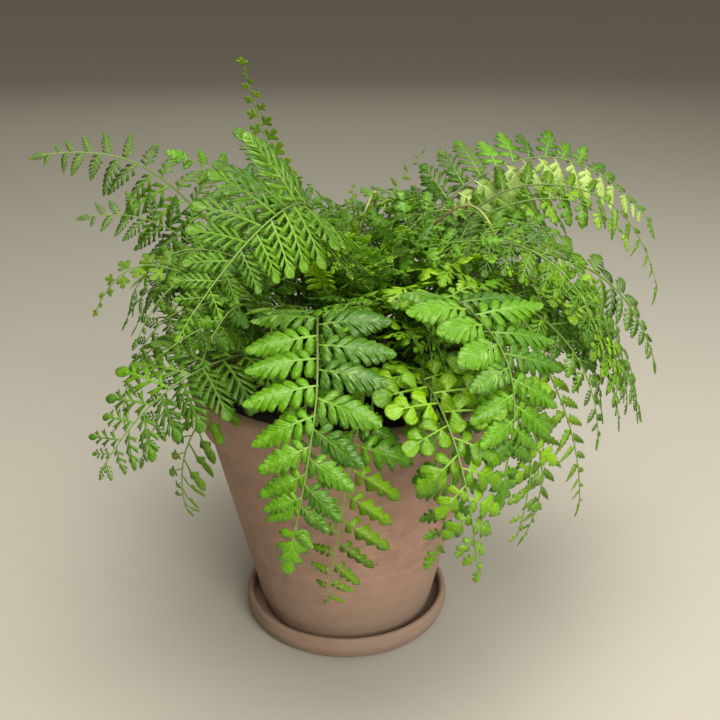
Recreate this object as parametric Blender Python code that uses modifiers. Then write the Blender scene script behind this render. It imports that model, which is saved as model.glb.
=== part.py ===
# Potted mother fern: clay pot, saucer, soil, root crown, fronds and two croziers.
# Metres, +Z up. The origin is the centre of the saucer's underside.
import math
from collections import namedtuple

import bmesh
import bpy
from mathutils import Matrix, Vector
from mathutils.bvhtree import BVHTree

MM = 0.001
GAP = 0.3 * MM                     # between pieces that rest on or in each other

# Saucer
SAUCER_RADIUS = 62.3 * MM
SAUCER_FOOT_RADIUS = 58.5 * MM
SAUCER_INNER_RADIUS = 57.9 * MM
SAUCER_HEIGHT = 13.6 * MM
SAUCER_FLOOR = 5.0 * MM

# Pot
POT_BOTTOM = SAUCER_FLOOR + GAP
RIM_HEIGHT = 157.0 * MM            # above the ground
RIM_RADIUS = 90.0 * MM
COLLAR_DEPTH = 27.6 * MM
COLLAR_STEP = 3.9 * MM             # how far the collar stands out of the body
BASE_RADIUS = 51.2 * MM
BODY_SLOPE = 0.2306                # radius gained for each unit of height
POT_WALL = 7.0 * MM
RIM_WALL = 8.8 * MM
POT_FLOOR = 9.0 * MM
DRAIN_RADIUS = 8.0 * MM
POT_SIDES = 36

# Soil and root crown
SOIL_LEVEL = 143.0 * MM
SOIL_ROUGHNESS = 1.2 * MM
CROWN_RADIUS = 50.0 * MM
CROWN_RECESS = 9.0 * MM            # how deep the crown is sunk in the soil
CROWN_RISE = 9.0 * MM              # how far its middle stands out of the soil
HOLE_DEPTH = 7.0 * MM
HOLE_SIDES = 5
HOLE_RADIUS = 2.25 * MM            # to the corners, so that a stem has its gap all round
CROWN_KNOBS = 0.8 * MM

# Fronds
STEM_WIDTH = 2.1 * MM
TIP_WIDTH = 1.1 * MM
BLADE_THICKNESS = 0.72 * MM
STEM_SEGMENT = 19.0 * MM
CLEARANCE = 1.15 * MM              # from a leaflet's middle surface to the pieces round it
OWN_CLEARANCE = 0.42 * MM          # the same to the other leaflets of its own frond
ATTITUDES = (0, 16, -16, 32, -32, 48, -48, 64)   # degrees that a leaflet may be lifted to lie clear
LENGTHS = (1.0, 0.75, 0.55)        # parts of its length that it may be cut back to
FOOT_PART = 0.055                  # half of a leaflet's foot, as a part of its length
CROWDING = 1.15                    # above 1 the leaflet pairs stand closer towards the tip
PACKING = 0.43                     # half width of a leaflet, as a part of the space between pairs
TIP_GAP = 0.4                      # where the leaflet at the tip starts, between the last pair and the tip
DROOP = 0.06                       # how far a leaflet's tip sinks, as a part of its length
STRAIGHT_FOOT = 1.5 * MM           # a stem is upright to this height above the crown
ROLL_END = 0.5                     # part of its length where a frond has its full roll
CURVE_STEPS = 12                   # between two of a stem's four points
RIB_CLEARANCE = 1.1 * MM           # from a leaflet's far lobe to the edge of its rib
NARROWEST = 0.16                   # least half width of a leaflet, as a part of its length
SMALL_LEAFLET = 17 * MM            # broad leaflets under this length have the simpler cut outline
RIPPLE = 0.045                     # how far a leaflet's edge waves, as a part of its length

# A leaflet's outline on its far and its near side, the far one being towards the frond's tip: lobes and
# notches as distance along it, as a part of its length, and half width, as a part of its widest.
OUTLINES = {
    "broad": (((0.22, 1.0), (0.42, 0.50), (0.64, 0.82)), ((0.20, 0.95), (0.40, 0.50), (0.62, 0.78))),
    "cut": (((0.30, 1.0), (0.48, 0.45)), ((0.36, 0.95),)),
    "slim": (((0.34, 1.0), (0.60, 0.50)), ((0.40, 0.80),)),
    "round": (((0.38, 1.0), (0.80, 0.80)), ((0.40, 0.95),)),
    "fan": (((0.55, 1.0), (0.80, 0.60)), ((0.60, 0.95),)),
}
WIDTHS = {"broad": 0.36, "cut": 0.38, "slim": 0.28, "round": 0.50, "fan": 0.48}   # widest, of the length
# How far a leaflet turns off the rib at the blade's foot and at its tip, in degrees.
SPREAD = {"broad": (80, 55), "cut": (80, 56), "slim": (72, 50), "round": (82, 60), "fan": (70, 50)}
COLOURS = {
    "broad": (0.135, 0.260, 0.045), "cut": (0.110, 0.235, 0.045), "slim": (0.120, 0.250, 0.040),
    "round": (0.260, 0.420, 0.060), "fan": (0.160, 0.290, 0.050),
}

# A frond's stem and rib pass through four points: its root in the crown as heading and distance from the
# pot's axis, then knee, crest and tip as heading, distance from the axis and height, in degrees and mm.
# The heading counts from +X towards +Y. Leaflet is the longest leaflet's length in mm, bare the part of
# the frond without leaflets, roll its turn about its own rib, and lift how far its leaflets stand up.
Frond = namedtuple("Frond", "name outline pairs leaflet bare roll lift root knee crest tip")
FRONDS = [
    Frond("frond_front_left", "broad", 8, 34, 0.34, 0, 5, (262, 30), (263, 92, 221), (266, 150, 200), (262, 168, 126)),
    Frond("frond_front_right", "broad", 7, 34, 0.38, -5, 5, (303, 30), (307, 88, 222), (302, 143, 205), (298, 150, 144)),
    Frond("frond_front_young", "round", 7, 22, 0.36, 8, 5, (287, 40), (291, 100, 192), (289, 148, 184), (293, 160, 112)),
    Frond("frond_front_slim", "slim", 7, 22, 0.40, 30, 0, (273, 40), (276, 100, 186), (271, 143, 158), (267, 149, 98)),
    Frond("frond_left_wide", "cut", 8, 46, 0.26, -45, 5, (238, 17), (250, 48, 262), (252, 108, 268), (246, 165, 232)),
    Frond("frond_far_left", "cut", 8, 27, 0.32, -65, 5, (153, 24), (156, 91, 238), (156, 138, 266), (164, 192, 269)),
    Frond("frond_left_upper", "cut", 6, 22, 0.36, -55, 5, (164, 31), (163, 84, 218), (165, 122, 238), (169, 157, 238)),
    Frond("frond_spike", "fan", 7, 13, 0.36, 80, 5, (125, 12), (145, 36, 240), (140, 60, 285), (159, 59, 328)),
    Frond("frond_left_back", "broad", 4, 22, 0.50, -60, 5, (180, 13), (175, 42, 245), (180, 68, 270), (187, 92, 283)),
    Frond("frond_left_yellow", "fan", 5, 14, 0.46, -30, 5, (205, 33), (206, 74, 215), (201, 115, 230), (199, 137, 205)),
    Frond("frond_left_dark", "cut", 5, 22, 0.40, -35, 0, (176, 43), (165, 85, 205), (165, 112, 200), (167, 138, 170)),
    Frond("frond_left_low", "cut", 7, 28, 0.34, -20, 5, (224, 36), (236, 80, 192), (233, 135, 190), (226, 166, 150)),
    Frond("frond_left_comb", "cut", 5, 22, 0.42, -30, 5, (214, 22), (222, 75, 200), (229, 105, 210), (227, 130, 200)),
    Frond("frond_left_sprig", "slim", 6, 12, 0.46, 0, 0, (238, 42), (236, 96, 180), (234, 122, 165), (231, 124, 116)),
    Frond("frond_right_back", "cut", 8, 31, 0.32, 50, -15, (40, 22), (33, 85, 255), (31, 150, 264), (22, 212, 216)),
    Frond("frond_right_far", "slim", 7, 18, 0.38, 40, -10, (18, 32), (20, 105, 255), (18, 165, 242), (12, 194, 184)),
    Frond("frond_right_curl", "cut", 6, 23, 0.40, 30, -10, (0, 33), (0, 95, 226), (4, 150, 206), (0, 180, 155)),
    Frond("frond_right_low", "cut", 6, 25, 0.38, 20, 0, (348, 42), (350, 100, 213), (348, 145, 182), (350, 168, 138)),
    Frond("frond_right_hanging", "slim", 7, 16, 0.38, 10, 0, (330, 42), (330, 98, 205), (324, 140, 160), (325, 148, 110)),
    Frond("frond_right_silver", "cut", 7, 28, 0.34, 25, 0, (338, 22), (344, 75, 240), (336, 118, 232), (332, 150, 183)),
    Frond("frond_right_sprig", "slim", 6, 14, 0.44, 0, 0, (314, 43), (314, 105, 180), (313, 138, 160), (308, 141, 108)),
    Frond("frond_back_thin", "slim", 3, 10, 0.62, 60, 0, (70, 12), (68, 54, 230), (64, 66, 248), (52, 76, 272)),
    Frond("frond_back_a", "cut", 5, 27, 0.38, 0, -10, (57, 34), (60, 85, 222), (58, 140, 222), (55, 185, 170)),
    Frond("frond_back_b", "cut", 5, 27, 0.36, 0, -10, (92, 26), (90, 75, 222), (90, 125, 225), (92, 172, 170)),
    Frond("frond_back_c", "broad", 5, 27, 0.40, 0, -5, (118, 32), (118, 80, 215), (118, 130, 222), (118, 180, 180)),
    Frond("frond_back_d", "slim", 5, 20, 0.42, 0, -5, (76, 42), (75, 100, 195), (75, 140, 180), (76, 165, 125)),
    Frond("frond_back_e", "cut", 5, 24, 0.44, 0, -5, (104, 42), (105, 100, 192), (105, 138, 178), (104, 160, 120)),
    Frond("frond_back_f", "cut", 5, 23, 0.42, 0, -5, (138, 42), (138, 98, 195), (138, 140, 185), (139, 165, 135)),
    Frond("frond_back_g", "cut", 5, 23, 0.42, 0, -5, (42, 43), (45, 100, 200), (45, 140, 185), (44, 165, 130)),
    Frond("frond_back_h", "cut", 6, 26, 0.36, -25, 0, (128, 20), (130, 55, 235), (132, 100, 245), (135, 150, 225)),
    Frond("frond_right_side", "cut", 5, 22, 0.44, 0, 0, (20, 45), (20, 105, 190), (20, 138, 172), (20, 155, 120)),
    Frond("frond_left_side", "slim", 5, 20, 0.42, 0, 0, (196, 44), (197, 88, 188), (202, 116, 180), (207, 130, 148)),
    Frond("frond_inner_a", "round", 4, 18, 0.46, 0, 10, (310, 14), (305, 35, 205), (302, 60, 222), (300, 92, 214)),
    Frond("frond_inner_b", "round", 4, 18, 0.46, 0, 10, (340, 10), (335, 30, 215), (325, 58, 228), (318, 90, 222)),
    Frond("frond_inner_c", "fan", 4, 16, 0.46, 0, 10, (265, 16), (268, 35, 205), (272, 58, 218), (275, 85, 208)),
    Frond("frond_inner_d", "cut", 4, 22, 0.44, 30, 10, (60, 6), (45, 28, 225), (30, 55, 242), (20, 90, 238)),
    Frond("frond_inner_e", "cut", 4, 22, 0.44, 30, 10, (100, 14), (100, 30, 220), (98, 52, 236), (96, 84, 236)),
    Frond("frond_rim_a", "round", 4, 15, 0.42, 0, 5, (281, 24), (280, 60, 180), (279, 86, 186), (278, 106, 170)),
    Frond("frond_rim_b", "cut", 4, 18, 0.44, 0, 5, (252, 44), (256, 78, 178), (260, 102, 180), (263, 122, 152)),
]

# Croziers: the same four points, then the coil's outer radius in mm and its turns.
Crozier = namedtuple("Crozier", "name root knee crest tip coil turns")
CROZIERS = [
    Crozier("crozier_right", (10, 20), (5, 44, 236), (2, 68, 252), (353, 84, 232), 7.0, 1.4),
    Crozier("crozier_back", (75, 24), (80, 40, 215), (78, 46, 232), (74, 56, 246), 6.0, 1.3),
]
CROZIER_RADIUS = 1.3 * MM


def cylindrical(heading, reach, height):
    """A point from a heading in degrees, a distance from the axis and a height in mm."""
    angle = math.radians(heading)
    return Vector((reach * math.cos(angle), reach * math.sin(angle), height)) * MM


def make_material(name, colour, roughness):
    material = bpy.data.materials.new(name)
    material.use_nodes = True
    shader = material.node_tree.nodes["Principled BSDF"]
    shader.inputs["Base Color"].default_value = (*colour, 1)
    shader.inputs["Roughness"].default_value = roughness
    shader.inputs["Metallic"].default_value = 0
    return material


def add_object(name, mesh, colour, roughness, collection):
    obj = bpy.data.objects.new(name, mesh)
    mesh.materials.append(make_material(name + "_finish", colour, roughness))
    collection.objects.link(obj)
    return obj


def turned(name, profile, closed, sides, colour, roughness, collection):
    """A solid turned from a profile of (radius, height) points that runs down its outer side."""
    mesh = bpy.data.meshes.new(name)
    edges = [(i, i + 1) for i in range(len(profile) - 1)]
    if closed:
        edges.append((len(profile) - 1, 0))
    mesh.from_pydata([(r, 0, z) for r, z in profile], edges, [])
    obj = add_object(name, mesh, colour, roughness, collection)
    screw = obj.modifiers.new("turn", "SCREW")
    screw.steps = screw.render_steps = sides
    screw.use_merge_vertices = True
    screw.merge_threshold = 0.00005
    screw.use_smooth_shade = True
    return obj


def arc(centre, radius, start, end, points):
    """Points along an arc of a profile, angles in degrees from +X."""
    angles = [math.radians(start + (end - start) * i / (points - 1)) for i in range(points)]
    return [(centre[0] + radius * math.cos(a), centre[1] + radius * math.sin(a)) for a in angles]


def apply_modifiers(obj):
    """Replace the object's mesh with the one its modifiers make."""
    evaluated = obj.evaluated_get(bpy.context.evaluated_depsgraph_get())
    mesh = bpy.data.meshes.new_from_object(evaluated)
    obj.modifiers.clear()
    obj.data = mesh
    return mesh


def smooth_round(obj):
    obj.data.shade_smooth()
    obj.data.set_sharp_from_angle(angle=math.radians(35))


def outer_radius(height):
    """Radius of the pot's body at a height."""
    return BASE_RADIUS + BODY_SLOPE * (height - POT_BOTTOM)


def inner_radius(height):
    """Radius of the pot's inner wall at a height."""
    collar_foot = RIM_HEIGHT - COLLAR_DEPTH
    if height <= collar_foot:
        return outer_radius(height) - POT_WALL
    flare = (height - collar_foot) / COLLAR_DEPTH
    low = outer_radius(collar_foot) - POT_WALL
    return low + (RIM_RADIUS - RIM_WALL - low) * flare


def make_pot(collection):
    lip = 2.6 * MM
    chamfer = 1.2 * MM
    collar_foot = RIM_HEIGHT - COLLAR_DEPTH
    collar_radius = outer_radius(collar_foot) + COLLAR_STEP
    floor = POT_BOTTOM + POT_FLOOR
    fillet = 4 * MM
    profile = arc((RIM_RADIUS - RIM_WALL + lip, RIM_HEIGHT - lip), lip, 180, 90, 3)
    profile += arc((RIM_RADIUS - lip, RIM_HEIGHT - lip), lip, 90, 0, 3)
    profile += [(collar_radius, collar_foot + chamfer), (collar_radius - chamfer, collar_foot)]
    profile += [(outer_radius(collar_foot), collar_foot - chamfer / 2)]
    profile += [(outer_radius(POT_BOTTOM + chamfer), POT_BOTTOM + chamfer), (BASE_RADIUS - chamfer, POT_BOTTOM)]
    profile += [(DRAIN_RADIUS, POT_BOTTOM), (DRAIN_RADIUS, floor)]
    profile += [(inner_radius(floor) - fillet, floor), (inner_radius(floor + fillet), floor + fillet)]
    profile += [(inner_radius(collar_foot), collar_foot)]
    return turned("pot", profile, True, POT_SIDES, (0.235, 0.155, 0.115), 0.85, collection)


def make_saucer(collection):
    lip = 2.0 * MM
    fillet = 2 * MM
    lip_middle = SAUCER_INNER_RADIUS + lip
    profile = [(0, SAUCER_FLOOR), (SAUCER_INNER_RADIUS - fillet, SAUCER_FLOOR)]
    profile += [(SAUCER_INNER_RADIUS, SAUCER_FLOOR + fillet)]
    profile += arc((lip_middle, SAUCER_HEIGHT - lip), lip, 180, 0, 5)
    profile += [(SAUCER_RADIUS, SAUCER_HEIGHT * 0.5), (SAUCER_FOOT_RADIUS + fillet, fillet)]
    profile += [(SAUCER_FOOT_RADIUS, 0), (0, 0)]
    return turned("saucer", profile, False, POT_SIDES, (0.225, 0.150, 0.110), 0.85, collection)


def make_soil(collection):
    floor = POT_BOTTOM + POT_FLOOR + GAP
    fillet = 4 * MM
    collar_foot = RIM_HEIGHT - COLLAR_DEPTH
    recess = CROWN_RADIUS + GAP
    edge = inner_radius(SOIL_LEVEL) - GAP
    profile = [(0, SOIL_LEVEL - CROWN_RECESS), (recess, SOIL_LEVEL - CROWN_RECESS), (recess, SOIL_LEVEL)]
    profile += [((2 * recess + edge) / 3, SOIL_LEVEL + 1 * MM), ((recess + 2 * edge) / 3, SOIL_LEVEL)]
    profile += [(edge, SOIL_LEVEL), (inner_radius(collar_foot) - GAP, collar_foot)]
    profile += [(inner_radius(floor + fillet) - GAP, floor + fillet), (inner_radius(floor) - fillet, floor)]
    profile += [(0, floor)]
    obj = turned("soil", profile, False, 30, (0.020, 0.014, 0.010), 0.95, collection)
    for vertex in apply_modifiers(obj).vertices:
        x, y, z = vertex.co
        if z > SOIL_LEVEL - 1 * MM and recess + 1 * MM < math.hypot(x, y) < edge - 1 * MM:
            vertex.co.z += SOIL_ROUGHNESS * math.sin(x * 310) * math.cos(y * 270)
    return obj


def crown_height(radius):
    """Height of the crown's mounded top at a distance from the axis."""
    return SOIL_LEVEL + CROWN_RISE * (1 - (radius / CROWN_RADIUS) ** 2)


def make_crown(plants, collection, cutters):
    """The rootstock: a low knobbly mound with a plain hole for each stem."""
    foot = SOIL_LEVEL - CROWN_RECESS + GAP
    rings = 4
    profile = [(CROWN_RADIUS * i / rings, crown_height(CROWN_RADIUS * i / rings)) for i in range(rings + 1)]
    profile += [(CROWN_RADIUS, foot), (0, foot)]
    obj = turned("root_crown", profile, False, 18, (0.060, 0.035, 0.020), 0.9, collection)
    for vertex in apply_modifiers(obj).vertices:
        x, y, z = vertex.co
        if z > SOIL_LEVEL + 1 * MM:
            vertex.co.z += CROWN_KNOBS * math.sin(x * 420 + 1) * math.sin(y * 390)
    holes = bmesh.new()
    for plant in plants:
        x, y, _ = cylindrical(*plant.root, 0)
        height = 2 * HOLE_DEPTH
        top = crown_height(math.hypot(x, y)) + height / 2
        place = Matrix.Translation((x, y, top - height / 2))
        bmesh.ops.create_cone(
            holes, cap_ends=True, segments=HOLE_SIDES, radius1=HOLE_RADIUS, radius2=HOLE_RADIUS,
            depth=height, matrix=place)
    mesh = bpy.data.meshes.new("stem_holes")
    holes.to_mesh(mesh)
    holes.free()
    cutter = bpy.data.objects.new("stem_holes", mesh)
    cutter.hide_render = True
    cutter.display_type = "WIRE"
    cutters.objects.link(cutter)
    cut = obj.modifiers.new("stem_holes", "BOOLEAN")
    cut.operation = "DIFFERENCE"
    cut.solver = "EXACT"
    cut.object = cutter
    return obj


def stem_path(plant):
    """Points and directions along a stem, from the floor of its hole through its four points."""
    foot = cylindrical(*plant.root, 0)
    base = crown_height(foot.length)
    bottom = Vector((foot.x, foot.y, base - HOLE_DEPTH + GAP))
    foot.z = base + STRAIGHT_FOOT
    points = [foot, cylindrical(*plant.knee), cylindrical(*plant.crest), cylindrical(*plant.tip)]
    spans = [(b - a).length for a, b in zip(points, points[1:])]
    runs = [(b - a) / span for a, b, span in zip(points, points[1:], spans)]
    slopes = [Vector((0, 0, 1.1))]
    for i in (0, 1):
        slopes.append((runs[i] * spans[i + 1] + runs[i + 1] * spans[i]) / (spans[i] + spans[i + 1]))
    slopes.append(2 * runs[2] - slopes[2])
    path = [bottom, foot]
    for i in range(3):
        for step in range(1, CURVE_STEPS + 1):
            t = step / CURVE_STEPS
            near = points[i] * (2 * t**3 - 3 * t**2 + 1) + slopes[i] * spans[i] * (t**3 - 2 * t**2 + t)
            far = points[i + 1] * (3 * t**2 - 2 * t**3) + slopes[i + 1] * spans[i] * (t**3 - t**2)
            path.append(near + far)
    up = Vector((0, 0, 1))
    directions = [up, up]
    for i in range(2, len(path)):
        directions.append((path[min(i + 1, len(path) - 1)] - path[i - 1]).normalized())
    lengths = [0.0]
    for a, b in zip(path, path[1:]):
        lengths.append(lengths[-1] + (b - a).length)
    return path, directions, lengths


class Rib:
    """A frond's curve, with the directions along it, across the blade and off the blade."""

    def __init__(self, frond):
        self.frond = frond
        self.path, self.directions, self.lengths = stem_path(frond)
        self.length = self.lengths[-1]
        span = self.path[-1] - self.path[0]
        self.level = Vector((-span.y, span.x, 0)).normalized()

    def at(self, distance):
        i = 1
        while i < len(self.path) - 1 and self.lengths[i] < distance:
            i += 1
        part = (distance - self.lengths[i - 1]) / (self.lengths[i] - self.lengths[i - 1])
        point = self.path[i - 1].lerp(self.path[i], part)
        along = self.directions[i - 1].lerp(self.directions[i], part).normalized()
        across = (self.level - along * self.level.dot(along)).normalized()
        angle = math.radians(self.frond.roll) * min(1, distance / self.length / ROLL_END)
        across.rotate(Matrix.Rotation(angle, 3, along))
        return point, along, across, along.cross(across)

    def width(self, distance):
        return STEM_WIDTH + (TIP_WIDTH - STEM_WIDTH) * distance / self.length

    def blade_part(self, distance):
        """How far along the blade a distance lies, from 0 at its foot to 1 at its tip."""
        start = self.frond.bare * self.length
        return (distance - start) / (self.length - start)

    def leaflet_length(self, distance):
        u = self.blade_part(distance)
        return self.frond.leaflet * MM * max(0.22, (0.75 + 0.25 * min(1, 4 * u)) * (1 - u) ** 0.55)

    def pairs(self):
        """Middles of the leaflet pairs, closer together towards the tip."""
        frond = self.frond
        start = frond.bare * self.length
        middles = []
        for i in range(frond.pairs):
            rest = 1 - (i + 0.5) / (frond.pairs + 0.5)
            middles.append(start + (self.length - start) * (1 - rest ** CROWDING))
        return middles


class Sheet:
    """A blade's middle surface: points, each with its thickness, and triangles."""

    def __init__(self):
        self.points = []
        self.thickness = []
        self.triangles = []

    def add(self, point, thickness):
        self.points.append(point)
        self.thickness.append(thickness)
        return len(self.points) - 1

    def tree(self):
        return BVHTree.FromPolygons(self.points, self.triangles)


def stem_sheet(rib, stations):
    """The strip along the rib, with two points at each station, right and left of it."""
    sheet = Sheet()
    for distance in stations:
        point, _, across, _ = rib.at(distance)
        width = rib.width(distance)
        for side in (-1, 1):
            sheet.add(point + across * side * width / 2, width)
    for i in range(0, 2 * len(stations) - 2, 2):
        sheet.triangles += [(i, i + 2, i + 3), (i, i + 3, i + 1)]
    return sheet


def stem_tree(rib, stations):
    """The stem's square tube, for testing what lies clear of it."""
    corners = []
    for distance in stations:
        point, _, across, normal = rib.at(distance)
        half = rib.width(distance) / 2
        for a, n in ((-1, -1), (1, -1), (1, 1), (-1, 1)):
            corners.append(point + across * a * half + normal * n * half)
    faces = []
    for i in range(len(stations) - 1):
        for k in range(4):
            a, b = 4 * i + k, 4 * i + (k + 1) % 4
            faces.append((a, b, b + 4, a + 4))
    return BVHTree.FromPolygons(corners, faces)


def rib_stations(rib):
    """Distances of the stem's stations, and the indices where each leaflet pair's foot starts."""
    frond = rib.frond
    middles = rib.pairs()
    start = rib.lengths[1]
    end = middles[0] - FOOT_PART * rib.leaflet_length(middles[0])
    segments = max(2, round((end - start) / STEM_SEGMENT))
    stations = [0] + [start + (end - start) * i / segments for i in range(segments + 1)]
    feet = []
    for i, middle in enumerate(middles):
        half = FOOT_PART * rib.leaflet_length(middle)
        if i > 0:
            stations.append(middle - half)
        feet.append(len(stations) - 1)
        stations.append(middle + half)
    stations.append(stations[-1] + TIP_GAP * (rib.length - stations[-1]))
    return stations, feet


def leaflet_points(outline, centre, out, toward, normal, length, half_width):
    """Points round a leaflet, from beside its second foot over its tip back to its first foot."""
    second_side, first_side = outline
    sag = Vector((0, 0, -DROOP * length))

    def place(x, y):
        wave = RIPPLE * length * (1 if abs(y) > 0.7 else -0.6)
        return centre + out * x * length + toward * y * half_width + normal * wave + sag * x * x

    points = [place(x, y) for x, y in second_side]
    points.append(centre + out * length + sag)
    return points + [place(x, -y) for x, y in reversed(first_side)]


def zigzag(ring, mirrored=False):
    """Triangles that cross a leaflet from side to side, from its two feet to its tip."""
    if mirrored:
        return [(c, b, a) for a, b, c in zigzag([ring[1], ring[0]] + ring[:1:-1])]
    triangles = []
    low, high = 1, len(ring)
    while high - low > 1:
        triangles.append((ring[high % len(ring)], ring[low], ring[low + 1]))
        low += 1
        if high - low > 1:
            triangles.append((ring[high % len(ring)], ring[low], ring[high - 1]))
            high -= 1
    return triangles


def leaflet_hull(points, feet, normal, clearance, mirrored):
    """A prism round a leaflet, larger by a clearance, for testing what it would touch."""
    ring = feet + points
    middle = sum(ring, Vector()) / len(ring)
    grown = [point + (point - middle).normalized() * clearance for point in ring]
    corners = [point + normal * clearance for point in grown] + [point - normal * clearance for point in grown]
    count = len(ring)
    faces = []
    for a, b, c in zigzag(list(range(count)), mirrored):
        faces += [(a, b, c), (a + count, c + count, b + count)]
    for i in range(count):
        k = (i + 1) % count
        faces.append((i, k, k + count, i + count))
    return BVHTree.FromPolygons(corners, faces)


def touches(tree, others):
    return any(tree.overlap(other) for other in others)


def grow_leaflet(rib, sheet, feet, distance, side, reach, half_width, others, own):
    """Add the leaflet on one side, or the one at the tip, at the first attitude that lies clear."""
    frond = rib.frond
    point, along, across, normal = rib.at(distance)
    spread_foot, spread_tip = SPREAD[frond.outline]
    u = max(0, min(1, rib.blade_part(distance)))
    spread = math.radians(spread_foot + (spread_tip - spread_foot) * u) * abs(side)
    out = along * math.cos(spread) + across * side * math.sin(spread)
    centre = point + across * side * rib.width(distance) / 2
    hinge = along * side if side else -across
    kind = "cut" if frond.outline == "broad" and reach < SMALL_LEAFLET else frond.outline
    outline = OUTLINES[kind][::side or 1]
    for length in [reach * part for part in LENGTHS]:
        for attitude in ATTITUDES:
            turn = Matrix.Rotation(math.radians(attitude + frond.lift), 3, hinge)
            leaf_out = turn @ out
            leaf_normal = turn @ normal
            toward = leaf_out.cross(leaf_normal)
            width = min(half_width, WIDTHS[frond.outline] * length)
            if side:
                far_lobe = OUTLINES[kind][0][0][0] * length
                room = (far_lobe * math.sin(spread) - RIB_CLEARANCE) / math.cos(spread)
                width = min(width, max(room, NARROWEST * length))
            points = leaflet_points(outline, centre, leaf_out, toward, leaf_normal, length, width)
            root = centre + leaf_out * 1.8 * CLEARANCE
            ends = [root - toward * 0.3 * width, root + toward * 0.3 * width]
            hull = leaflet_hull(points, ends, leaf_normal, CLEARANCE, side < 0)
            if touches(hull, others):
                continue
            ends = [sheet.points[i] for i in feet]
            near_hull = leaflet_hull(points, ends, leaf_normal, OWN_CLEARANCE, side < 0)
            if touches(near_hull, own):
                continue
            ring = list(feet) + [sheet.add(p, BLADE_THICKNESS) for p in points]
            sheet.triangles += zigzag(ring, side < 0)
            own.append(near_hull)
            return True
    return False


def grow_blade(rib, sheet, stations, feet, others):
    """Add a frond's leaflets to its stem's strip."""
    own = []
    middles = rib.pairs()
    for i, (distance, foot) in enumerate(zip(middles, feet)):
        after = middles[i + 1] if i + 1 < len(middles) else rib.length
        before = middles[i - 1] if i > 0 else 2 * distance - after
        half_width = PACKING * (after - before) / 2
        reach = rib.leaflet_length(distance)
        right = (2 * foot + 2, 2 * foot)
        left = (2 * foot + 1, 2 * foot + 3)
        for side, ends in ((-1, right), (1, left)):
            grow_leaflet(rib, sheet, ends, distance, side, reach, half_width, others, own)
    last = 2 * len(stations) - 2
    reach = 1.4 * (rib.length - stations[-1])
    half_width = PACKING * (rib.length - middles[-1])
    grow_leaflet(rib, sheet, (last + 1, last), stations[-1], 0, reach, half_width, others, own)


def make_frond(rib, sheet, collection):
    """A blade of its middle surface with Solidify, thicker along the stem than in the leaflets."""
    frond = rib.frond
    mesh = bpy.data.meshes.new(frond.name)
    mesh.from_pydata(sheet.points, [], sheet.triangles)
    obj = add_object(frond.name, mesh, COLOURS[frond.outline], 0.45, collection)
    group = obj.vertex_groups.new(name="thickness")
    for i, thickness in enumerate(sheet.thickness):
        group.add([i], thickness / STEM_WIDTH, "REPLACE")
    solid = obj.modifiers.new("thickness", "SOLIDIFY")
    solid.thickness = STEM_WIDTH
    solid.offset = 0
    solid.vertex_group = group.name
    solid.thickness_vertex_group = 0
    solid.use_even_offset = False
    return obj


def grow_fronds(collection, obstacles):
    """All stems first, then the leaflets, frond by frond, each clear of all that stands already."""
    ribs = [Rib(frond) for frond in FRONDS]
    plans = [rib_stations(rib) for rib in ribs]
    stems = [stem_tree(rib, stations) for rib, (stations, _) in zip(ribs, plans)]
    grown = []
    for i, (rib, (stations, feet)) in enumerate(zip(ribs, plans)):
        sheet = stem_sheet(rib, stations)
        bare_count = len(sheet.triangles)
        others = obstacles + stems[:i] + stems[i + 1:] + grown
        grow_blade(rib, sheet, stations, feet, others)
        make_frond(rib, sheet, collection)
        blades = sheet.triangles[bare_count:]
        if blades:
            grown.append(BVHTree.FromPolygons(sheet.points, blades))


def make_crozier(plant, collection):
    """A stem whose tip is still rolled up: a tube along its points and then a flat coil."""
    path, directions, _ = stem_path(plant)
    stem = [path[0]] + path[1::4]
    end, along = path[-1], directions[-1]
    span = path[-1] - path[0]
    level = Vector((-span.y, span.x, 0)).normalized()
    inward = level.cross(along).normalized()
    coil = plant.coil * MM
    centre = end + inward * coil
    steps = round(8 * plant.turns)
    for i in range(1, steps + 1):
        angle = 2 * math.pi * plant.turns * i / steps
        radius = coil * (1 - 0.66 * i / steps)
        stem.append(centre - inward * math.cos(angle) * radius + along * math.sin(angle) * radius)
    curve = bpy.data.curves.new(plant.name, "CURVE")
    curve.dimensions = "3D"
    curve.bevel_depth = CROZIER_RADIUS
    curve.bevel_resolution = 1
    curve.use_fill_caps = True
    spline = curve.splines.new("POLY")
    spline.points.add(len(stem) - 1)
    for point, place in zip(spline.points, stem):
        point.co = (*place, 1)
    tube = bpy.data.objects.new(plant.name + "_tube", curve)
    collection.objects.link(tube)
    mesh = bpy.data.meshes.new_from_object(tube.evaluated_get(bpy.context.evaluated_depsgraph_get()))
    bpy.data.objects.remove(tube)
    welded = bmesh.new()
    welded.from_mesh(mesh)
    bmesh.ops.remove_doubles(welded, verts=welded.verts, dist=0.00001)
    welded.to_mesh(mesh)
    welded.free()
    return add_object(plant.name, mesh, (0.300, 0.330, 0.140), 0.6, collection)


def evaluated_tree(obj):
    """The object's final surface, for testing what lies clear of it."""
    depsgraph = bpy.context.evaluated_depsgraph_get()
    return BVHTree.FromObject(obj, depsgraph)


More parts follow.
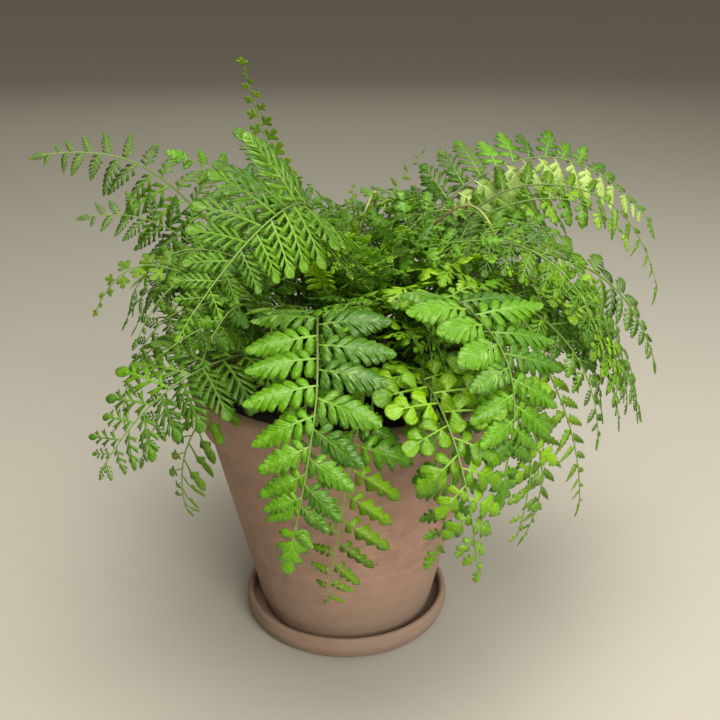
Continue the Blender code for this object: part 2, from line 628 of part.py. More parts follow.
def main():
    for obj in list(bpy.data.objects):
        bpy.data.objects.remove(obj)
    scene = bpy.context.scene.collection
    plant_parts = bpy.data.collections.new("potted_mother_fern")
    cutters = bpy.data.collections.new("cutters")
    scene.children.link(plant_parts)
    scene.children.link(cutters)
    pieces = [make_pot(plant_parts), make_saucer(plant_parts), make_soil(plant_parts)]
    pieces.append(make_crown(FRONDS + CROZIERS, plant_parts, cutters))
    pieces += [make_crozier(plant, plant_parts) for plant in CROZIERS]
    bpy.context.view_layer.update()
    grow_fronds(plant_parts, [evaluated_tree(piece) for piece in pieces])
    for piece in pieces:
        smooth_round(piece)


main()
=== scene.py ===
# Potted mother fern in a clay pot on its saucer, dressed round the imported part.
# Metres, +Z up. The origin is the centre of the saucer's underside.
import math
import random

import bpy
from mathutils import Matrix, Vector, noise


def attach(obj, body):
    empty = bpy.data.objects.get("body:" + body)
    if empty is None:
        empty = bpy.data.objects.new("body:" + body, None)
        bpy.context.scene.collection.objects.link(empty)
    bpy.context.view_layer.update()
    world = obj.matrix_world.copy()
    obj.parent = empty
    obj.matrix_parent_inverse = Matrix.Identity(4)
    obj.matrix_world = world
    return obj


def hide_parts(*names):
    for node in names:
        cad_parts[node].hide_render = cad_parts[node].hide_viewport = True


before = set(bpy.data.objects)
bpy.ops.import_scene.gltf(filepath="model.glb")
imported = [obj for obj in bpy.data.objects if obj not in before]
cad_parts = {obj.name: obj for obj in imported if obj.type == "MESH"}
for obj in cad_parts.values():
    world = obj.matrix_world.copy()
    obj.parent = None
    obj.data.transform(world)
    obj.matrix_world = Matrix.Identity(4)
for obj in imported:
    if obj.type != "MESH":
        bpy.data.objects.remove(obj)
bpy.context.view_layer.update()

mm = 0.001
print("frame loaded:", len(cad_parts), "nodes")


# Camera, floor and light

cameraPose = {
    "place": (0.0084, -0.542, 0.378),
    "tilt": 21.7,                  # degrees that it looks down
    "lens": 50.7,
    "near": 0.01,
}
studio = {
    "floorSize": 30.0,
    "floorColour": (0.38, 0.365, 0.345),
    "worldColour": (0.93, 0.86, 0.61),
    "worldStrength": 0.26,
    "exposure": 0.0,
    # name, place, aims at, size, watts, colour
    "lamps": [
        ("frontLight", (0.60, -1.30, 0.75), (0, 0, 0.08), 0.8, 24, (1.0, 0.95, 0.82)),
        ("topLight", (0.10, -0.25, 1.30), (0, 0, 0.20), 0.9, 21, (1.0, 0.97, 0.83)),
        ("sideLight", (1.20, 0.30, 0.95), (0, 0, 0.20), 0.7, 5, (1.0, 0.96, 0.86)),
        ("backLight", (-0.25, 1.90, 1.50), (0, 0, 0.22), 2.0, 8, (1.0, 0.97, 0.82)),
    ],
}


def aim(place, target):
    # Turns that point an object's -Z from a place to a target
    return (Vector(target) - Vector(place)).to_track_quat("-Z", "Y").to_euler()


def addCamera():
    turn = (math.radians(90 - cameraPose["tilt"]), 0, 0)
    bpy.ops.object.camera_add(location=cameraPose["place"], rotation=turn)
    camera = bpy.context.object
    camera.name = "camera"
    camera.data.lens = cameraPose["lens"]
    camera.data.clip_start = cameraPose["near"]
    bpy.context.scene.camera = camera


def addStudio():
    for name, place, target, size, power, colour in studio["lamps"]:
        bpy.ops.object.light_add(type="AREA", location=place, rotation=aim(place, target))
        lamp = bpy.context.object
        lamp.name = name
        lamp.data.size = size
        lamp.data.energy = power
        lamp.data.color = colour
    world = bpy.data.worlds.new("softRoom")
    world.use_nodes = True
    light = world.node_tree.nodes["Background"]
    light.inputs["Color"].default_value = opaque(studio["worldColour"])
    light.inputs["Strength"].default_value = studio["worldStrength"]
    bpy.context.scene.world = world
    bpy.ops.mesh.primitive_plane_add(size=studio["floorSize"])
    floor = bpy.context.object
    floor.name = "floor"
    floor.data.materials.append(floorMaterial())
    print("studio set")


# Node helpers for the materials. A new node joins the tree that its inputs come from.

def newMaterial(name, roughness):
    material = bpy.data.materials.new(name)
    material.use_nodes = True
    tree = material.node_tree
    shader = tree.nodes["Principled BSDF"]
    shader.inputs["Roughness"].default_value = roughness
    return material, tree, shader


def isSocket(value):
    return isinstance(value, bpy.types.NodeSocket)


def addNode(kind, inputs, **settings):
    tree = next(value.id_data for value in inputs.values() if isSocket(value))
    node = tree.nodes.new(kind)
    for name, value in settings.items():
        setattr(node, name, value)
    for name, value in inputs.items():
        if isSocket(value):
            tree.links.new(value, node.inputs[name])
        else:
            node.inputs[name].default_value = value
    return node


def feed(shader, name, value):
    shader.id_data.links.new(value, shader.inputs[name])


def calc(operation, *values):
    return addNode("ShaderNodeMath", dict(enumerate(values)), operation=operation).outputs[0]


def times(first, *others):
    for other in others:
        first = calc("MULTIPLY", first, other)
    return first


def total(*shares):
    # The sum of some values, each given as (value, weight)
    parts = [value if weight == 1 else times(value, weight) for value, weight in shares]
    whole = parts[0]
    for part in parts[1:]:
        whole = calc("ADD", whole, part)
    return whole


def fromMiddle(value):
    return calc("SUBTRACT", value, 0.5)


def ramp(value, start, end, low=0.0, high=1.0):
    # value's way from start to end, smoothed, as a number from low to high
    inputs = {"Value": value, "From Min": start, "From Max": end, "To Min": low, "To Max": high}
    return addNode("ShaderNodeMapRange", inputs, interpolation_type="SMOOTHSTEP").outputs[0]


def opaque(colour):
    return colour if isSocket(colour) else (*colour, 1)


def scaled(colour, factor, lift=0):
    return [min(1, part * factor + lift) for part in colour]


def mixColours(share, first, second, blend="MIX"):
    inputs = {0: share, 6: opaque(first), 7: opaque(second)}
    return addNode("ShaderNodeMix", inputs, data_type="RGBA", blend_type=blend).outputs[2]


def noiseOf(vector, scale, detail=3.0, rough=0.55):
    inputs = {"Vector": vector, "Scale": scale, "Detail": detail, "Roughness": rough}
    return addNode("ShaderNodeTexNoise", inputs).outputs["Fac"]


def stretched(vector, scale):
    return addNode("ShaderNodeMapping", {"Vector": vector, "Scale": scale}).outputs[0]


def partsOf(vector):
    return addNode("ShaderNodeSeparateXYZ", {0: vector}).outputs


def objectCoords(tree):
    return tree.nodes.new("ShaderNodeTexCoord").outputs["Object"]


def uvCoords(tree, name):
    node = tree.nodes.new("ShaderNodeUVMap")
    node.uv_map = name
    return node.outputs[0]


def addBump(shader, height, strength, distance):
    bump = addNode("ShaderNodeBump", {"Height": height, "Strength": strength, "Distance": distance})
    feed(shader, "Normal", bump.outputs[0])
    return bump.outputs[0]


def floorMaterial():
    material, tree, shader = newMaterial("paleFloor", 0.85)
    patch = noiseOf(objectCoords(tree), 2.5, 4)
    colour = studio["floorColour"]
    feed(shader, "Base Color", mixColours(patch, scaled(colour, 0.96), colour))
    return material


# Mesh helpers

weldAt = 0.00002    # points of a solid that lie this near are merged


def selectOnly(*pieces):
    bpy.ops.object.select_all(action="DESELECT")
    for piece in pieces:
        piece.select_set(True)
    bpy.context.view_layer.objects.active = pieces[0]


def addGrid(name, columns, rows):
    # A flat grid of columns x rows points, column by column along each row, which other shapes start from
    bpy.ops.object.select_all(action="DESELECT")
    bpy.ops.mesh.primitive_grid_add(x_subdivisions=columns - 1, y_subdivisions=rows - 1, size=1)
    grid = bpy.context.object
    grid.name = name
    return grid


def startEditing(piece):
    selectOnly(piece)
    bpy.ops.object.mode_set(mode="EDIT")
    bpy.ops.mesh.select_all(action="SELECT")


def weld(piece, distance, holes=False, outwards=True):
    # Merges points that lie together, and closes holes and turns the faces outwards where that is asked
    startEditing(piece)
    bpy.ops.mesh.remove_doubles(threshold=distance)
    bpy.ops.mesh.delete_loose()
    bpy.ops.mesh.select_all(action="SELECT")
    if holes:
        bpy.ops.mesh.fill_holes(sides=0)
        bpy.ops.mesh.select_all(action="SELECT")
    if outwards:
        bpy.ops.mesh.normals_make_consistent(inside=False)
    bpy.ops.object.mode_set(mode="OBJECT")


def turnInsideOut(piece):
    startEditing(piece)
    bpy.ops.mesh.flip_normals()
    bpy.ops.object.mode_set(mode="OBJECT")


def deleteFaces(piece, unwanted):
    # unwanted says for a face's index whether it goes
    selectOnly(piece)
    bpy.ops.object.mode_set(mode="EDIT")
    bpy.ops.mesh.select_mode(type="FACE")
    bpy.ops.mesh.select_all(action="DESELECT")
    bpy.ops.object.mode_set(mode="OBJECT")
    for face in piece.data.polygons:
        face.select = unwanted(face.index)
    bpy.ops.object.mode_set(mode="EDIT")
    bpy.ops.mesh.delete(type="FACE")
    bpy.ops.object.mode_set(mode="OBJECT")


def joined(pieces, name):
    selectOnly(*pieces)
    if len(pieces) > 1:
        bpy.ops.object.join()
    whole = bpy.context.view_layer.objects.active
    whole.name = name
    return whole


def smoothed(piece, degrees):
    selectOnly(piece)
    bpy.ops.object.shade_smooth_by_angle(angle=math.radians(degrees))


def thickened(piece, thickness, underside):
    # Gives a sheet its thickness, downwards, with the next material on its underside
    selectOnly(piece)
    bpy.ops.object.modifier_add(type="SOLIDIFY")
    solid = piece.modifiers[-1]
    solid.thickness = thickness
    solid.offset = -1
    solid.material_offset = underside
    bpy.ops.object.modifier_apply(modifier=solid.name)


def copied(piece):
    twin = piece.copy()
    twin.data = piece.data.copy()
    bpy.context.collection.objects.link(twin)
    return twin


def squareTo(vector, axis):
    # The part of a direction that stands square to an axis
    return (vector - axis * vector.dot(axis)).normalized()


def camel(node):
    words = node.split("_")
    return words[0] + "".join(word.title() for word in words[1:])


# Leaflets

def leafletForm(lobes, rib=0.026, quilt=0, stagger=0.04, foot=0.42, **more):
    return dict(lobes=lobes, rib=rib, quilt=quilt, stagger=stagger, foot=foot, **more)


# A leaflet is one long. Its lobes stand in pairs along the midrib: place on it, reach, half width, lean
# off the midrib in degrees, and how many rows are grown together with the next lobe. across gives the
# points over a lobe's width with the reach of each, rows the points along the lobe with the share of its
# width there, and tip the blade's end: place, half width and forward lean. rib is the wing along the
# midrib, quilt how far the skin rises between veins, cup how far the lobes hang, stagger how much further
# on one side's lobes stand, and foot how much of a lobe stands on the midrib.
leafletForms = {
    "broad": leafletForm(
        [(0.09, 0.215, 0.078, 74, 0), (0.235, 0.24, 0.082, 58, 0), (0.38, 0.25, 0.08, 48, 2),
         (0.51, 0.228, 0.075, 42, 3), (0.63, 0.194, 0.07, 38, 3), (0.74, 0.15, 0.06, 35, 3)],
        across=[(-1, 0.86), (-0.5, 1.01), (0, 0.96), (0.5, 1.03), (1, 0.84)],
        rows=[(0.4, 0.94), (0.76, 1), (1, 0.8)],
        tip=[(0.85, 0.078, 0.8), (0.92, 0.058, 0.6), (0.97, 0.032, 0.4), (1, 0, 0)], rib=0.02,
        quilt=0.005, cup=0.65, stagger=0.035),
    "ovate": leafletForm(
        [(0.1, 0.225, 0.08, 68, 0), (0.245, 0.27, 0.084, 54, 2), (0.39, 0.27, 0.082, 46, 3),
         (0.53, 0.236, 0.076, 41, 3), (0.66, 0.185, 0.068, 37, 3)],
        across=[(-1, 0.88), (0, 1.04), (1, 0.88)], rows=[(0.42, 0.98), (0.78, 1), (1, 0.8)],
        tip=[(0.79, 0.11, 0.8), (0.89, 0.076, 0.6), (1, 0, 0)], rib=0.02, quilt=0.005, cup=0.6),
    "cut": leafletForm(
        [(0.08, 0.215, 0.05, 56, 0), (0.225, 0.275, 0.056, 47, 0), (0.375, 0.29, 0.058, 41, 0),
         (0.525, 0.262, 0.056, 37, 0), (0.665, 0.21, 0.05, 34, 0)],
        across=[(-1, 0.99), (0, 0.84), (1, 1.03)], rows=[(0.5, 0.78), (1, 1.12)],
        tip=[(0.76, 0.07, 1.3), (0.85, 0.085, 1), (0.93, 0.06, 0.9), (1, 0.014, 0)], rib=0.022, cup=0.12,
        stagger=0.05),
    "feather": leafletForm(
        [(0.1, 0.24, 0.06, 54, 0), (0.27, 0.3, 0.066, 45, 0), (0.45, 0.285, 0.066, 39, 0),
         (0.62, 0.225, 0.058, 35, 0)],
        across=[(-1, 0.97), (1, 1.03)], rows=[(1, 1.3)],
        tip=[(0.76, 0.095, 1.2), (0.9, 0.08, 0.9), (1, 0.018, 0)], cup=0.12, stagger=0.05),
    "fine": leafletForm(
        [(0.1, 0.2, 0.056, 58, 0), (0.25, 0.225, 0.06, 49, 0), (0.4, 0.215, 0.06, 43, 0),
         (0.54, 0.185, 0.056, 39, 0), (0.67, 0.15, 0.05, 36, 0)],
        across=[(-1, 0.9), (1, 1.05)], rows=[(1, 1)],
        tip=[(0.78, 0.075, 1.1), (0.86, 0.062, 1), (0.93, 0.042, 0.8), (1, 0.006, 0)], rib=0.034, cup=0.3,
        stagger=0.05),
    "sprig": leafletForm(
        [(0.12, 0.24, 0.066, 54, 0), (0.34, 0.29, 0.074, 45, 0), (0.57, 0.25, 0.07, 39, 0)],
        across=[(-1, 1), (0, 0.82), (1, 1.03)], rows=[(0.5, 0.76), (1, 1.12)],
        tip=[(0.7, 0.085, 1.2), (0.81, 0.1, 0.9), (0.91, 0.07, 0.8), (1, 0.016, 0)], cup=0.3, stagger=0.06),
    "paddle": leafletForm(
        [(0.42, 0.17, 0.085, 48, 1)],
        across=[(-1, 0.86), (0, 1), (1, 0.92)], rows=[(1, 0.9)],
        tip=[(0.62, 0.115, 0.6), (0.76, 0.13, 0.4), (0.89, 0.105, 0.2), (1, 0.024, 0)], cup=0.4,
        stagger=0.06),
    "band": leafletForm(
        [(0.15, 0.16, 0.09, 64, 0), (0.36, 0.165, 0.112, 48, 1), (0.58, 0.145, 0.106, 42, 1)],
        across=[(-1, 0.84), (0, 1.03), (1, 0.94)], rows=[(1, 0.96)],
        tip=[(0.74, 0.115, 0.6), (0.87, 0.1, 0.4), (1, 0.02, 0)], cup=0.4),
    "oak": leafletForm(
        [(0.15, 0.24, 0.098, 74, 0), (0.36, 0.29, 0.098, 58, 1), (0.57, 0.26, 0.092, 48, 1)],
        across=[(-1, 0.82), (0, 1.04), (1, 0.82)], rows=[(0.55, 1.05), (1, 0.78)],
        tip=[(0.74, 0.14, 0.7), (0.89, 0.095, 0.5), (1, 0, 0)], quilt=0.008, cup=0.5),
    "crisp": leafletForm(
        [(0.16, 0.26, 0.105, 74, 0), (0.42, 0.33, 0.12, 52, 1)],
        across=[(-1, 0.8), (-0.3, 1.04), (0.3, 0.96), (1, 0.92)], rows=[(0.55, 1.05), (1, 0.84)],
        tip=[(0.66, 0.19, 0.7), (0.86, 0.13, 0.4), (1, 0, 0)], quilt=0.008, cup=0.2, stagger=0.06),
    "slim": leafletForm(
        [(0.11, 0.135, 0.08, 66, 1), (0.28, 0.15, 0.084, 52, 2), (0.45, 0.138, 0.08, 44, 2),
         (0.61, 0.112, 0.072, 39, 2), (0.75, 0.08, 0.06, 35, 2)],
        across=[(-1, 0.9), (1, 1)], rows=[(0.55, 1), (1, 0.86)],
        tip=[(0.86, 0.052, 0.8), (0.93, 0.034, 0.6), (1, 0, 0)], rib=0.018, cup=0.6, stagger=0.035),
    "round": leafletForm(
        [(0.17, 0.33, 0.16, 80, 0), (0.5, 0.3, 0.15, 66, 0)],
        across=[(-1, 0.68), (-0.6, 0.92), (0, 1), (0.6, 0.93), (1, 0.7)],
        rows=[(0.34, 0.62), (0.62, 0.98), (0.86, 1.02), (1, 0.94)],
        tip=[(0.66, 0.07, 0.4), (0.74, 0.14, 0.3), (0.86, 0.165, 0.1), (0.95, 0.12, 0), (1, 0.04, 0)],
        rib=0.02, quilt=0.01, cup=0.3, stagger=0.07, foot=0.16),
    "clover": leafletForm(
        [(0.17, 0.3, 0.125, 74, 0), (0.46, 0.28, 0.12, 62, 0)],
        across=[(-1, 0.72), (0, 1), (1, 0.76)], rows=[(0.34, 0.62), (0.7, 1), (1, 0.84)],
        tip=[(0.66, 0.09, 0.3), (0.8, 0.16, 0.1), (1, 0.05, 0)], rib=0.02, quilt=0.014, cup=0.2,
        stagger=0.06, foot=0.22),
    "fan": leafletForm(
        [(0.3, 0.5, 0.165, 52, 1)],
        across=[(-1, 0.84), (-0.4, 1), (0.1, 0.88), (0.5, 1.04), (1, 0.88)],
        rows=[(0.4, 0.8), (0.75, 1), (1, 0.9)],
        tip=[(0.52, 0.11, 0.4), (0.7, 0.16, 0.5), (0.86, 0.17, 0.3), (0.94, 0.11, -0.4), (1, 0.03, -0.5)],
        rib=0.024, quilt=0.008, cup=0.08),
}
for alias, form in (("comb", "slim"), ("pale", "ovate"), ("light", "broad")):    # in another finish
    leafletForms[alias] = leafletForms[form]
leafletMesh = {"foot": 0.03, "weldAt": 0.004, "smoothTo": 60, "joinedFoot": 0.85}


def leafletColumns(form):
    # The points along the midrib: what part of the leaflet each belongs to, and how many rows of the gap
    # after it are closed
    whole = len(form["rows"]) + 2
    columns = [("foot", side * leafletMesh["foot"], 0, 0) for side in (-1, 1)]
    for lobe in form["lobes"]:
        for step, across in enumerate(form["across"], 1):
            last = step == len(form["across"])
            columns.append(("lobe", lobe, across, lobe[4] if last else whole))
    return columns + [("tip", tip, 0, whole) for tip in form["tip"]]


def leafletPoint(form, column, row, side):
    # Where a point lies: row 0 is the midrib, 1 the edge of its narrow wing, then the lobe's own rows
    kind, what, more, _ = column
    rib, quilt, cup = form["rib"], form["quilt"], form["cup"]
    if kind == "foot":
        return Vector((what, side * rib * 0.6 * min(row, 1), 0))
    if kind == "tip":
        place, half, lean = what
        y = half * row / (len(form["rows"]) + 1)
        return Vector((place + lean * y, side * y, -quilt * 0.4 * (row == 0) - cup * 0.5 * y))
    place, reach, half, lean, together = what
    across, end = more
    foot = half * (leafletMesh["joinedFoot"] if together else form["foot"])
    if side < 0:
        place += form["stagger"]
    wing = rib * (1 - 0.5 * place)
    if row < 2:
        return Vector((place + across * foot, side * wing * row, -quilt * 0.6 if row == 0 else 0))
    part, widening = form["rows"][row - 2]
    if together >= len(form["rows"]):    # lobes that are wholly grown together are no more than teeth
        end, widening = 0.25 + 0.75 * end, 0.4 + 0.6 * widening
    out = reach * part * (1 + (end - 1) * part * part) * (1.05 if side > 0 else 0.97)
    run, rise = math.cos(math.radians(lean)), math.sin(math.radians(lean))
    x = place + run * out + rise * across * half * rise * widening
    y = wing + rise * out - run * across * half * rise * widening
    ridge = 1 - abs(abs(across) - 0.5) * 2 if len(form["across"]) > 3 else 1 - abs(across)
    z = quilt * ridge * math.sin(math.pi * min(1, part * 0.8 + 0.15)) - cup * out * part * 0.5
    if not together:
        z -= cup * half * across * across * 0.5
    return Vector((x, side * y, z))


def shapeLeaflet(kind, mirrored):
    # One flat leaflet with its cut outline, along +X from the origin, its top upwards
    form = leafletForms[kind]
    columns = leafletColumns(form)
    top = len(form["rows"]) + 1
    leaflet = addGrid(kind + "Leaflet", len(columns), 2 * top + 1)
    for index, vertex in enumerate(leaflet.data.vertices):
        row, column = divmod(index, len(columns))
        vertex.co = leafletPoint(form, columns[column], abs(row - top), 1 if row >= top else -1)
        if mirrored:
            vertex.co.y *= -1

    def inGap(index):
        row, column = divmod(index, len(columns) - 1)
        ring = row - top if row >= top else top - 1 - row
        return ring > columns[column][3]

    deleteFaces(leaflet, inGap)
    if mirrored:
        turnInsideOut(leaflet)
    weld(leaflet, leafletMesh["weldAt"], outwards=False)
    leafUv = leaflet.data.uv_layers[0]
    leafUv.name = "leaf"
    toneUv = leaflet.data.uv_layers.new(name="tone")
    for loop in leaflet.data.loops:
        x, y, _ = leaflet.data.vertices[loop.vertex_index].co
        leafUv.data[loop.index].uv = (x, y + 0.5)
        toneUv.data[loop.index].uv = (0.5, 0.5)
    smoothed(leaflet, leafletMesh["smoothTo"])
    return leaflet


# Leaf and stem finishes

# Colours of the upper side from shade to light, of the veins and of the underside, then how much light
# comes through, the gloss, the number of side veins along a leaflet, and its share of painted sheen
finishParts = ("slot", "deep", "light", "vein", "under", "through", "roughness", "veins", "silver")
leafFinishes = {
    "broad": ("leaf_broad", (0.026, 0.115, 0.001), (0.115, 0.31, 0.002), (0.3, 0.52, 0.08),
              (0.15, 0.34, 0.03), 0.26, 0.3, 7, 0.6),
    "cut": ("leaf_fine", (0.03, 0.112, 0.001), (0.125, 0.3, 0.003), (0.29, 0.48, 0.07),
              (0.13, 0.3, 0.015), 0.34, 0.36, 8, 0.5),
    "slim": ("leaf_slim", (0.065, 0.16, 0.002), (0.175, 0.345, 0.006), (0.3, 0.48, 0.07),
              (0.19, 0.34, 0.02), 0.38, 0.4, 7, 0.3),
    "round": ("leaf_young", (0.06, 0.195, 0.001), (0.215, 0.42, 0.003), (0.34, 0.56, 0.05),
              (0.22, 0.4, 0.01), 0.28, 0.24, 4, 0.35),
    "pale": ("leaf_fine", (0.22, 0.35, 0.07), (0.44, 0.59, 0.2), (0.56, 0.7, 0.3), (0.4, 0.54, 0.2), 0.34,
              0.34, 8, 0.6),
    "fan": ("leaf_small", (0.06, 0.16, 0.004), (0.18, 0.34, 0.01), (0.3, 0.48, 0.06), (0.17, 0.31, 0.03),
              0.34, 0.42, 5, 0.2),
}
leafFinishes = {kind: dict(zip(finishParts, values)) for kind, values in leafFinishes.items()}
leafSkin = {
    "veinLean": 1.35, "veinWidth": 0.10, "sideVeins": 0.4, "midribWidth": 0.020, "veinColour": 0.5,
    "streaks": (3.0, 3.2, 40.0),       # along the veins, along the leaflet, from leaflet to leaflet
    "tone": 0.65, "patches": 0.45, "blotches": 0.35,
    "youngLight": 1.5, "youngShare": 0.45,
    # The colour of the painted sheen, a painted highlight mixed into the streaks, then the real gloss
    "silver": (0.46, 0.66, 0.22), "specular": 0.32, "coat": 0.3, "coatRoughness": 0.14,
    "underShare": 0.6, "underRoughness": 0.6,
    "bump": 0.8, "bumpDepth": 0.0016,
    # Light that comes through: what the upper skin makes of it, the lower skin's colour, its share there
    "glowTop": (2.2, 1.9, 0.5), "glowUnder": (0.76, 0.88, 0.20), "glowUnderShare": 0.60,
}
# The finish of the forms that have none of their own
dressedAs = {
    "ovate": "broad", "oak": "broad", "feather": "cut", "fine": "cut", "sprig": "cut", "paddle": "slim",
    "band": "slim", "crisp": "round", "clover": "round", "comb": "round", "light": "round",
}
# The forms of a kind's leaflets, each from a part of the blade on, and the form at its frond's end
kindForms = {
    "broad": ((0, "broad"), (0.60, "ovate")), "round": ((0, "round"), (0.45, "crisp")),
    "cut": ((0, "cut"), (0.60, "sprig")),
}
endForm = {"broad": "oak", "ovate": "oak", "cut": "sprig"}


def leafMaterial(kind, under):
    finish = leafFinishes[kind]
    name = kind + ("LeafUnderside" if under else "Leaf")
    material, tree, shader = newMaterial(name, finish["roughness"])
    along, across, _ = partsOf(uvCoords(tree, "leaf"))
    tone, age, _ = partsOf(uvCoords(tree, "tone"))
    across = calc("ABSOLUTE", fromMiddle(across))
    # Side veins lean forward off the midrib
    course = times(calc("SUBTRACT", along, times(across, leafSkin["veinLean"])), finish["veins"])
    offVein = calc("ABSOLUTE", fromMiddle(calc("FRACT", course)))
    sideVein = times(ramp(offVein, leafSkin["veinWidth"], 0.0), leafSkin["sideVeins"])
    midrib = times(ramp(across, leafSkin["midribWidth"], 0.005), ramp(along, 0.80, 0.05, 0.10, 0.9))
    vein = calc("MAXIMUM", sideVein, midrib)
    # Fine streaks along the veins, raised and glossier, with a painted sheen in the colour on them
    places = (course, calc("ADD", along, across), tone)
    inputs = {i: times(place, scale) for i, (place, scale) in enumerate(zip(places, leafSkin["streaks"]))}
    streaks = noiseOf(addNode("ShaderNodeCombineXYZ", inputs).outputs[0], 1.0, 2)
    patches = noiseOf(objectCoords(tree), 60, 3)
    waves = noiseOf(objectCoords(tree), 130, 2)
    blotches = noiseOf(objectCoords(tree), 420, 3)
    depth = total((tone, leafSkin["tone"]), (patches, leafSkin["patches"]),
                  (fromMiddle(blotches), leafSkin["blotches"]))
    colour = mixColours(ramp(depth, 0.15, 0.95), finish["deep"], finish["light"])
    young = times(calc("POWER", age, 2.5), leafSkin["youngShare"])
    colour = mixColours(young, colour, scaled(finish["light"], leafSkin["youngLight"]))
    colour = mixColours(times(vein, leafSkin["veinColour"]), colour, finish["vein"])
    if under:
        colour = mixColours(leafSkin["underShare"], colour, finish["under"])
        shader.inputs["Roughness"].default_value = leafSkin["underRoughness"]
        glow = opaque(leafSkin["glowUnder"])
    else:
        # Painted sheen: a pale colour on the streaks in patches, that stands in for highlights
        sheenPick = calc("FRACT", times(tone, 7.3))    # some leaflets are more silvery than others
        silver = times(ramp(streaks, 0.42, 0.74), ramp(sheenPick, 0.2, 0.9, 0.15, 1.0))
        silver = times(silver, ramp(waves, 0.42, 0.66, 0.1, 1.0), finish["silver"])
        colour = mixColours(silver, colour, leafSkin["silver"])
        dull, glossy = finish["roughness"] + 0.05, finish["roughness"] - 0.08
        feed(shader, "Roughness", ramp(streaks, 0.30, 0.70, dull, glossy))
        shader.inputs["Specular IOR Level"].default_value = leafSkin["specular"]
        shader.inputs["Coat Weight"].default_value = leafSkin["coat"]
        shader.inputs["Coat Roughness"].default_value = leafSkin["coatRoughness"]
        glow = mixColours(1.0, colour, leafSkin["glowTop"], "MULTIPLY")
    feed(shader, "Base Color", colour)
    height = total((streaks, 0.8), (vein, -0.25), (blotches, 0.25), (waves, 2.2))
    normal = addBump(shader, height, leafSkin["bump"], leafSkin["bumpDepth"])
    through = addNode("ShaderNodeBsdfTranslucent", {"Color": glow, "Normal": normal}).outputs[0]
    share = leafSkin["glowUnderShare"] if under else finish["through"]
    both = addNode("ShaderNodeMixShader", {0: share, 1: shader.outputs[0], 2: through}).outputs[0]
    feed(tree.nodes["Material Output"], "Surface", both)
    return material


stemFinish = {
    "foot": (0.040, 0.020, 0.011),      # brown at the root
    "middle": (0.055, 0.080, 0.016),
    "tip": (0.130, 0.240, 0.030),
    "roughness": 0.5,
}


def stemMaterial():
    material, tree, shader = newMaterial("frondStem", stemFinish["roughness"])
    uv = uvCoords(tree, "leaf")
    spots = noiseOf(objectCoords(tree), 900, 3)
    place = total((partsOf(uv)[0], 1), (fromMiddle(spots), 0.25))
    colour = mixColours(ramp(place, 0.10, 0.34), stemFinish["foot"], stemFinish["middle"])
    feed(shader, "Base Color", mixColours(ramp(place, 0.38, 0.85), colour, stemFinish["tip"]))
    lines = noiseOf(stretched(uv, (60, 9, 1)), 1.0, 2)
    addBump(shader, calc("ADD", lines, spots), 0.4, 0.0004)
    return material


# Fronds

bearing = {
    "rollEnd": 0.5,                    # part of its length where a frond has its full roll
    "holeDepth": 7.0, "holeGap": 0.3, "straightFoot": 1.5,
    "curveSteps": 12, "stemStep": 7.0,
    "stemSides": 8, "stemWidths": (1.8, 0.45), "groove": 0.30, "grooveFrom": 0.3,
    "thickness": 0.42,
    "rise": 6,                         # degrees that every leaflet stands up
    "yaw": 6, "tilt": 9, "roll": 13,   # how far leaflets stray, in degrees
    "face": 0.15,                      # how far they turn to the light, from 0 to 1
    "alternate": 0.22,                 # how far one side's leaflets stand on, as part of a pair's space
    "firstPair": 0.3,                  # how far up the blade the first pair stands, in the same measure
    "footLength": (0.82, 0.18), "fullFrom": 0.25, "shortest": 0.16,    # leaflet lengths up the blade
    "lengths": (0.92, 1.06), "curls": (0.6, 1.4),                      # how far those stray, as factors
    "light": (0.8, 0.6),               # the way that face turns to, outwards and upwards
    "endLength": 1.15, "stemPast": 0.3,                                # the leaflet at the tip
}
# How a leaflet curls down, folds, twists and sags, how far it turns off the stem at the blade's foot and at
# its tip, how the leaflets shorten up the blade, how much closer they stand there, and the blade's end
postureParts = ("curl", "fold", "twist", "sag", "spread", "taper", "crowding", "end")
postures = {
    "broad": (20, 0.06, 8, 0.04, (82, 50), (2.4, 1), 1.4, 0.15),
    "ovate": (22, 0.08, 10, 0.04),
    "oak": (24, 0.08, 10, 0.04, (78, 50), (1.6, 1), 1.15, 0.13),
    "cut": (20, 0.1, 6, 0.05, (80, 54), (1, 0.75), 1.2, 0.06),
    "feather": (24, 0.12, 8, 0.05, (80, 54), (1, 0.75), 1.2, 0.06),
    "slim": (36, 0.24, 14, 0.08, (74, 52), (1.8, 1), 1.15, 0.06),
    "round": (18, 0.05, 10, 0.05, (80, 58), (2.8, 1), 1.15, 0.05),
    "crisp": (46, 0.28, 30, 0.08, (70, 50), (1.6, 0.9), 1.1, 0.14),
    "comb": (20, 0.2, 8, 0.04, (62, 46), (1.4, 0.9), 1.1, 0.06),
    "pale": (20, 0.1, 6, 0.05),
    "fine": (50, 0.1, 8, 0.06, (76, 52), (1.3, 0.9), 1.15, 0.07),
    "sprig": (24, 0.12, 10, 0.05, (76, 52), (1.4, 0.9), 1.1, 0.08),
    "paddle": (50, 0.2, 30, 0.1, (70, 44), (2, 0.9), 1.1, 0.1),
    "band": (56, 0.2, 20, 0.06, (80, 66), (2, 0.9), 1.1, 0.1),
    "light": (16, 0.06, 6, 0.03, (70, 50), (1, 1), 1, 0.5),
    "clover": (18, 0.05, 10, 0.05, (80, 58), (2, 0.9), 1.15, 0.06),
    "fan": (14, 0.1, 8, 0.03, (68, 50), (1.4, 0.8), 1.1, 0.05),
}
postures = {kind: dict(zip(postureParts, values)) for kind, values in postures.items()}
crown = {"level": 143.0, "radius": 50.0, "rise": 9.0, "foot": 134.3}    # the dome that all stems rise from


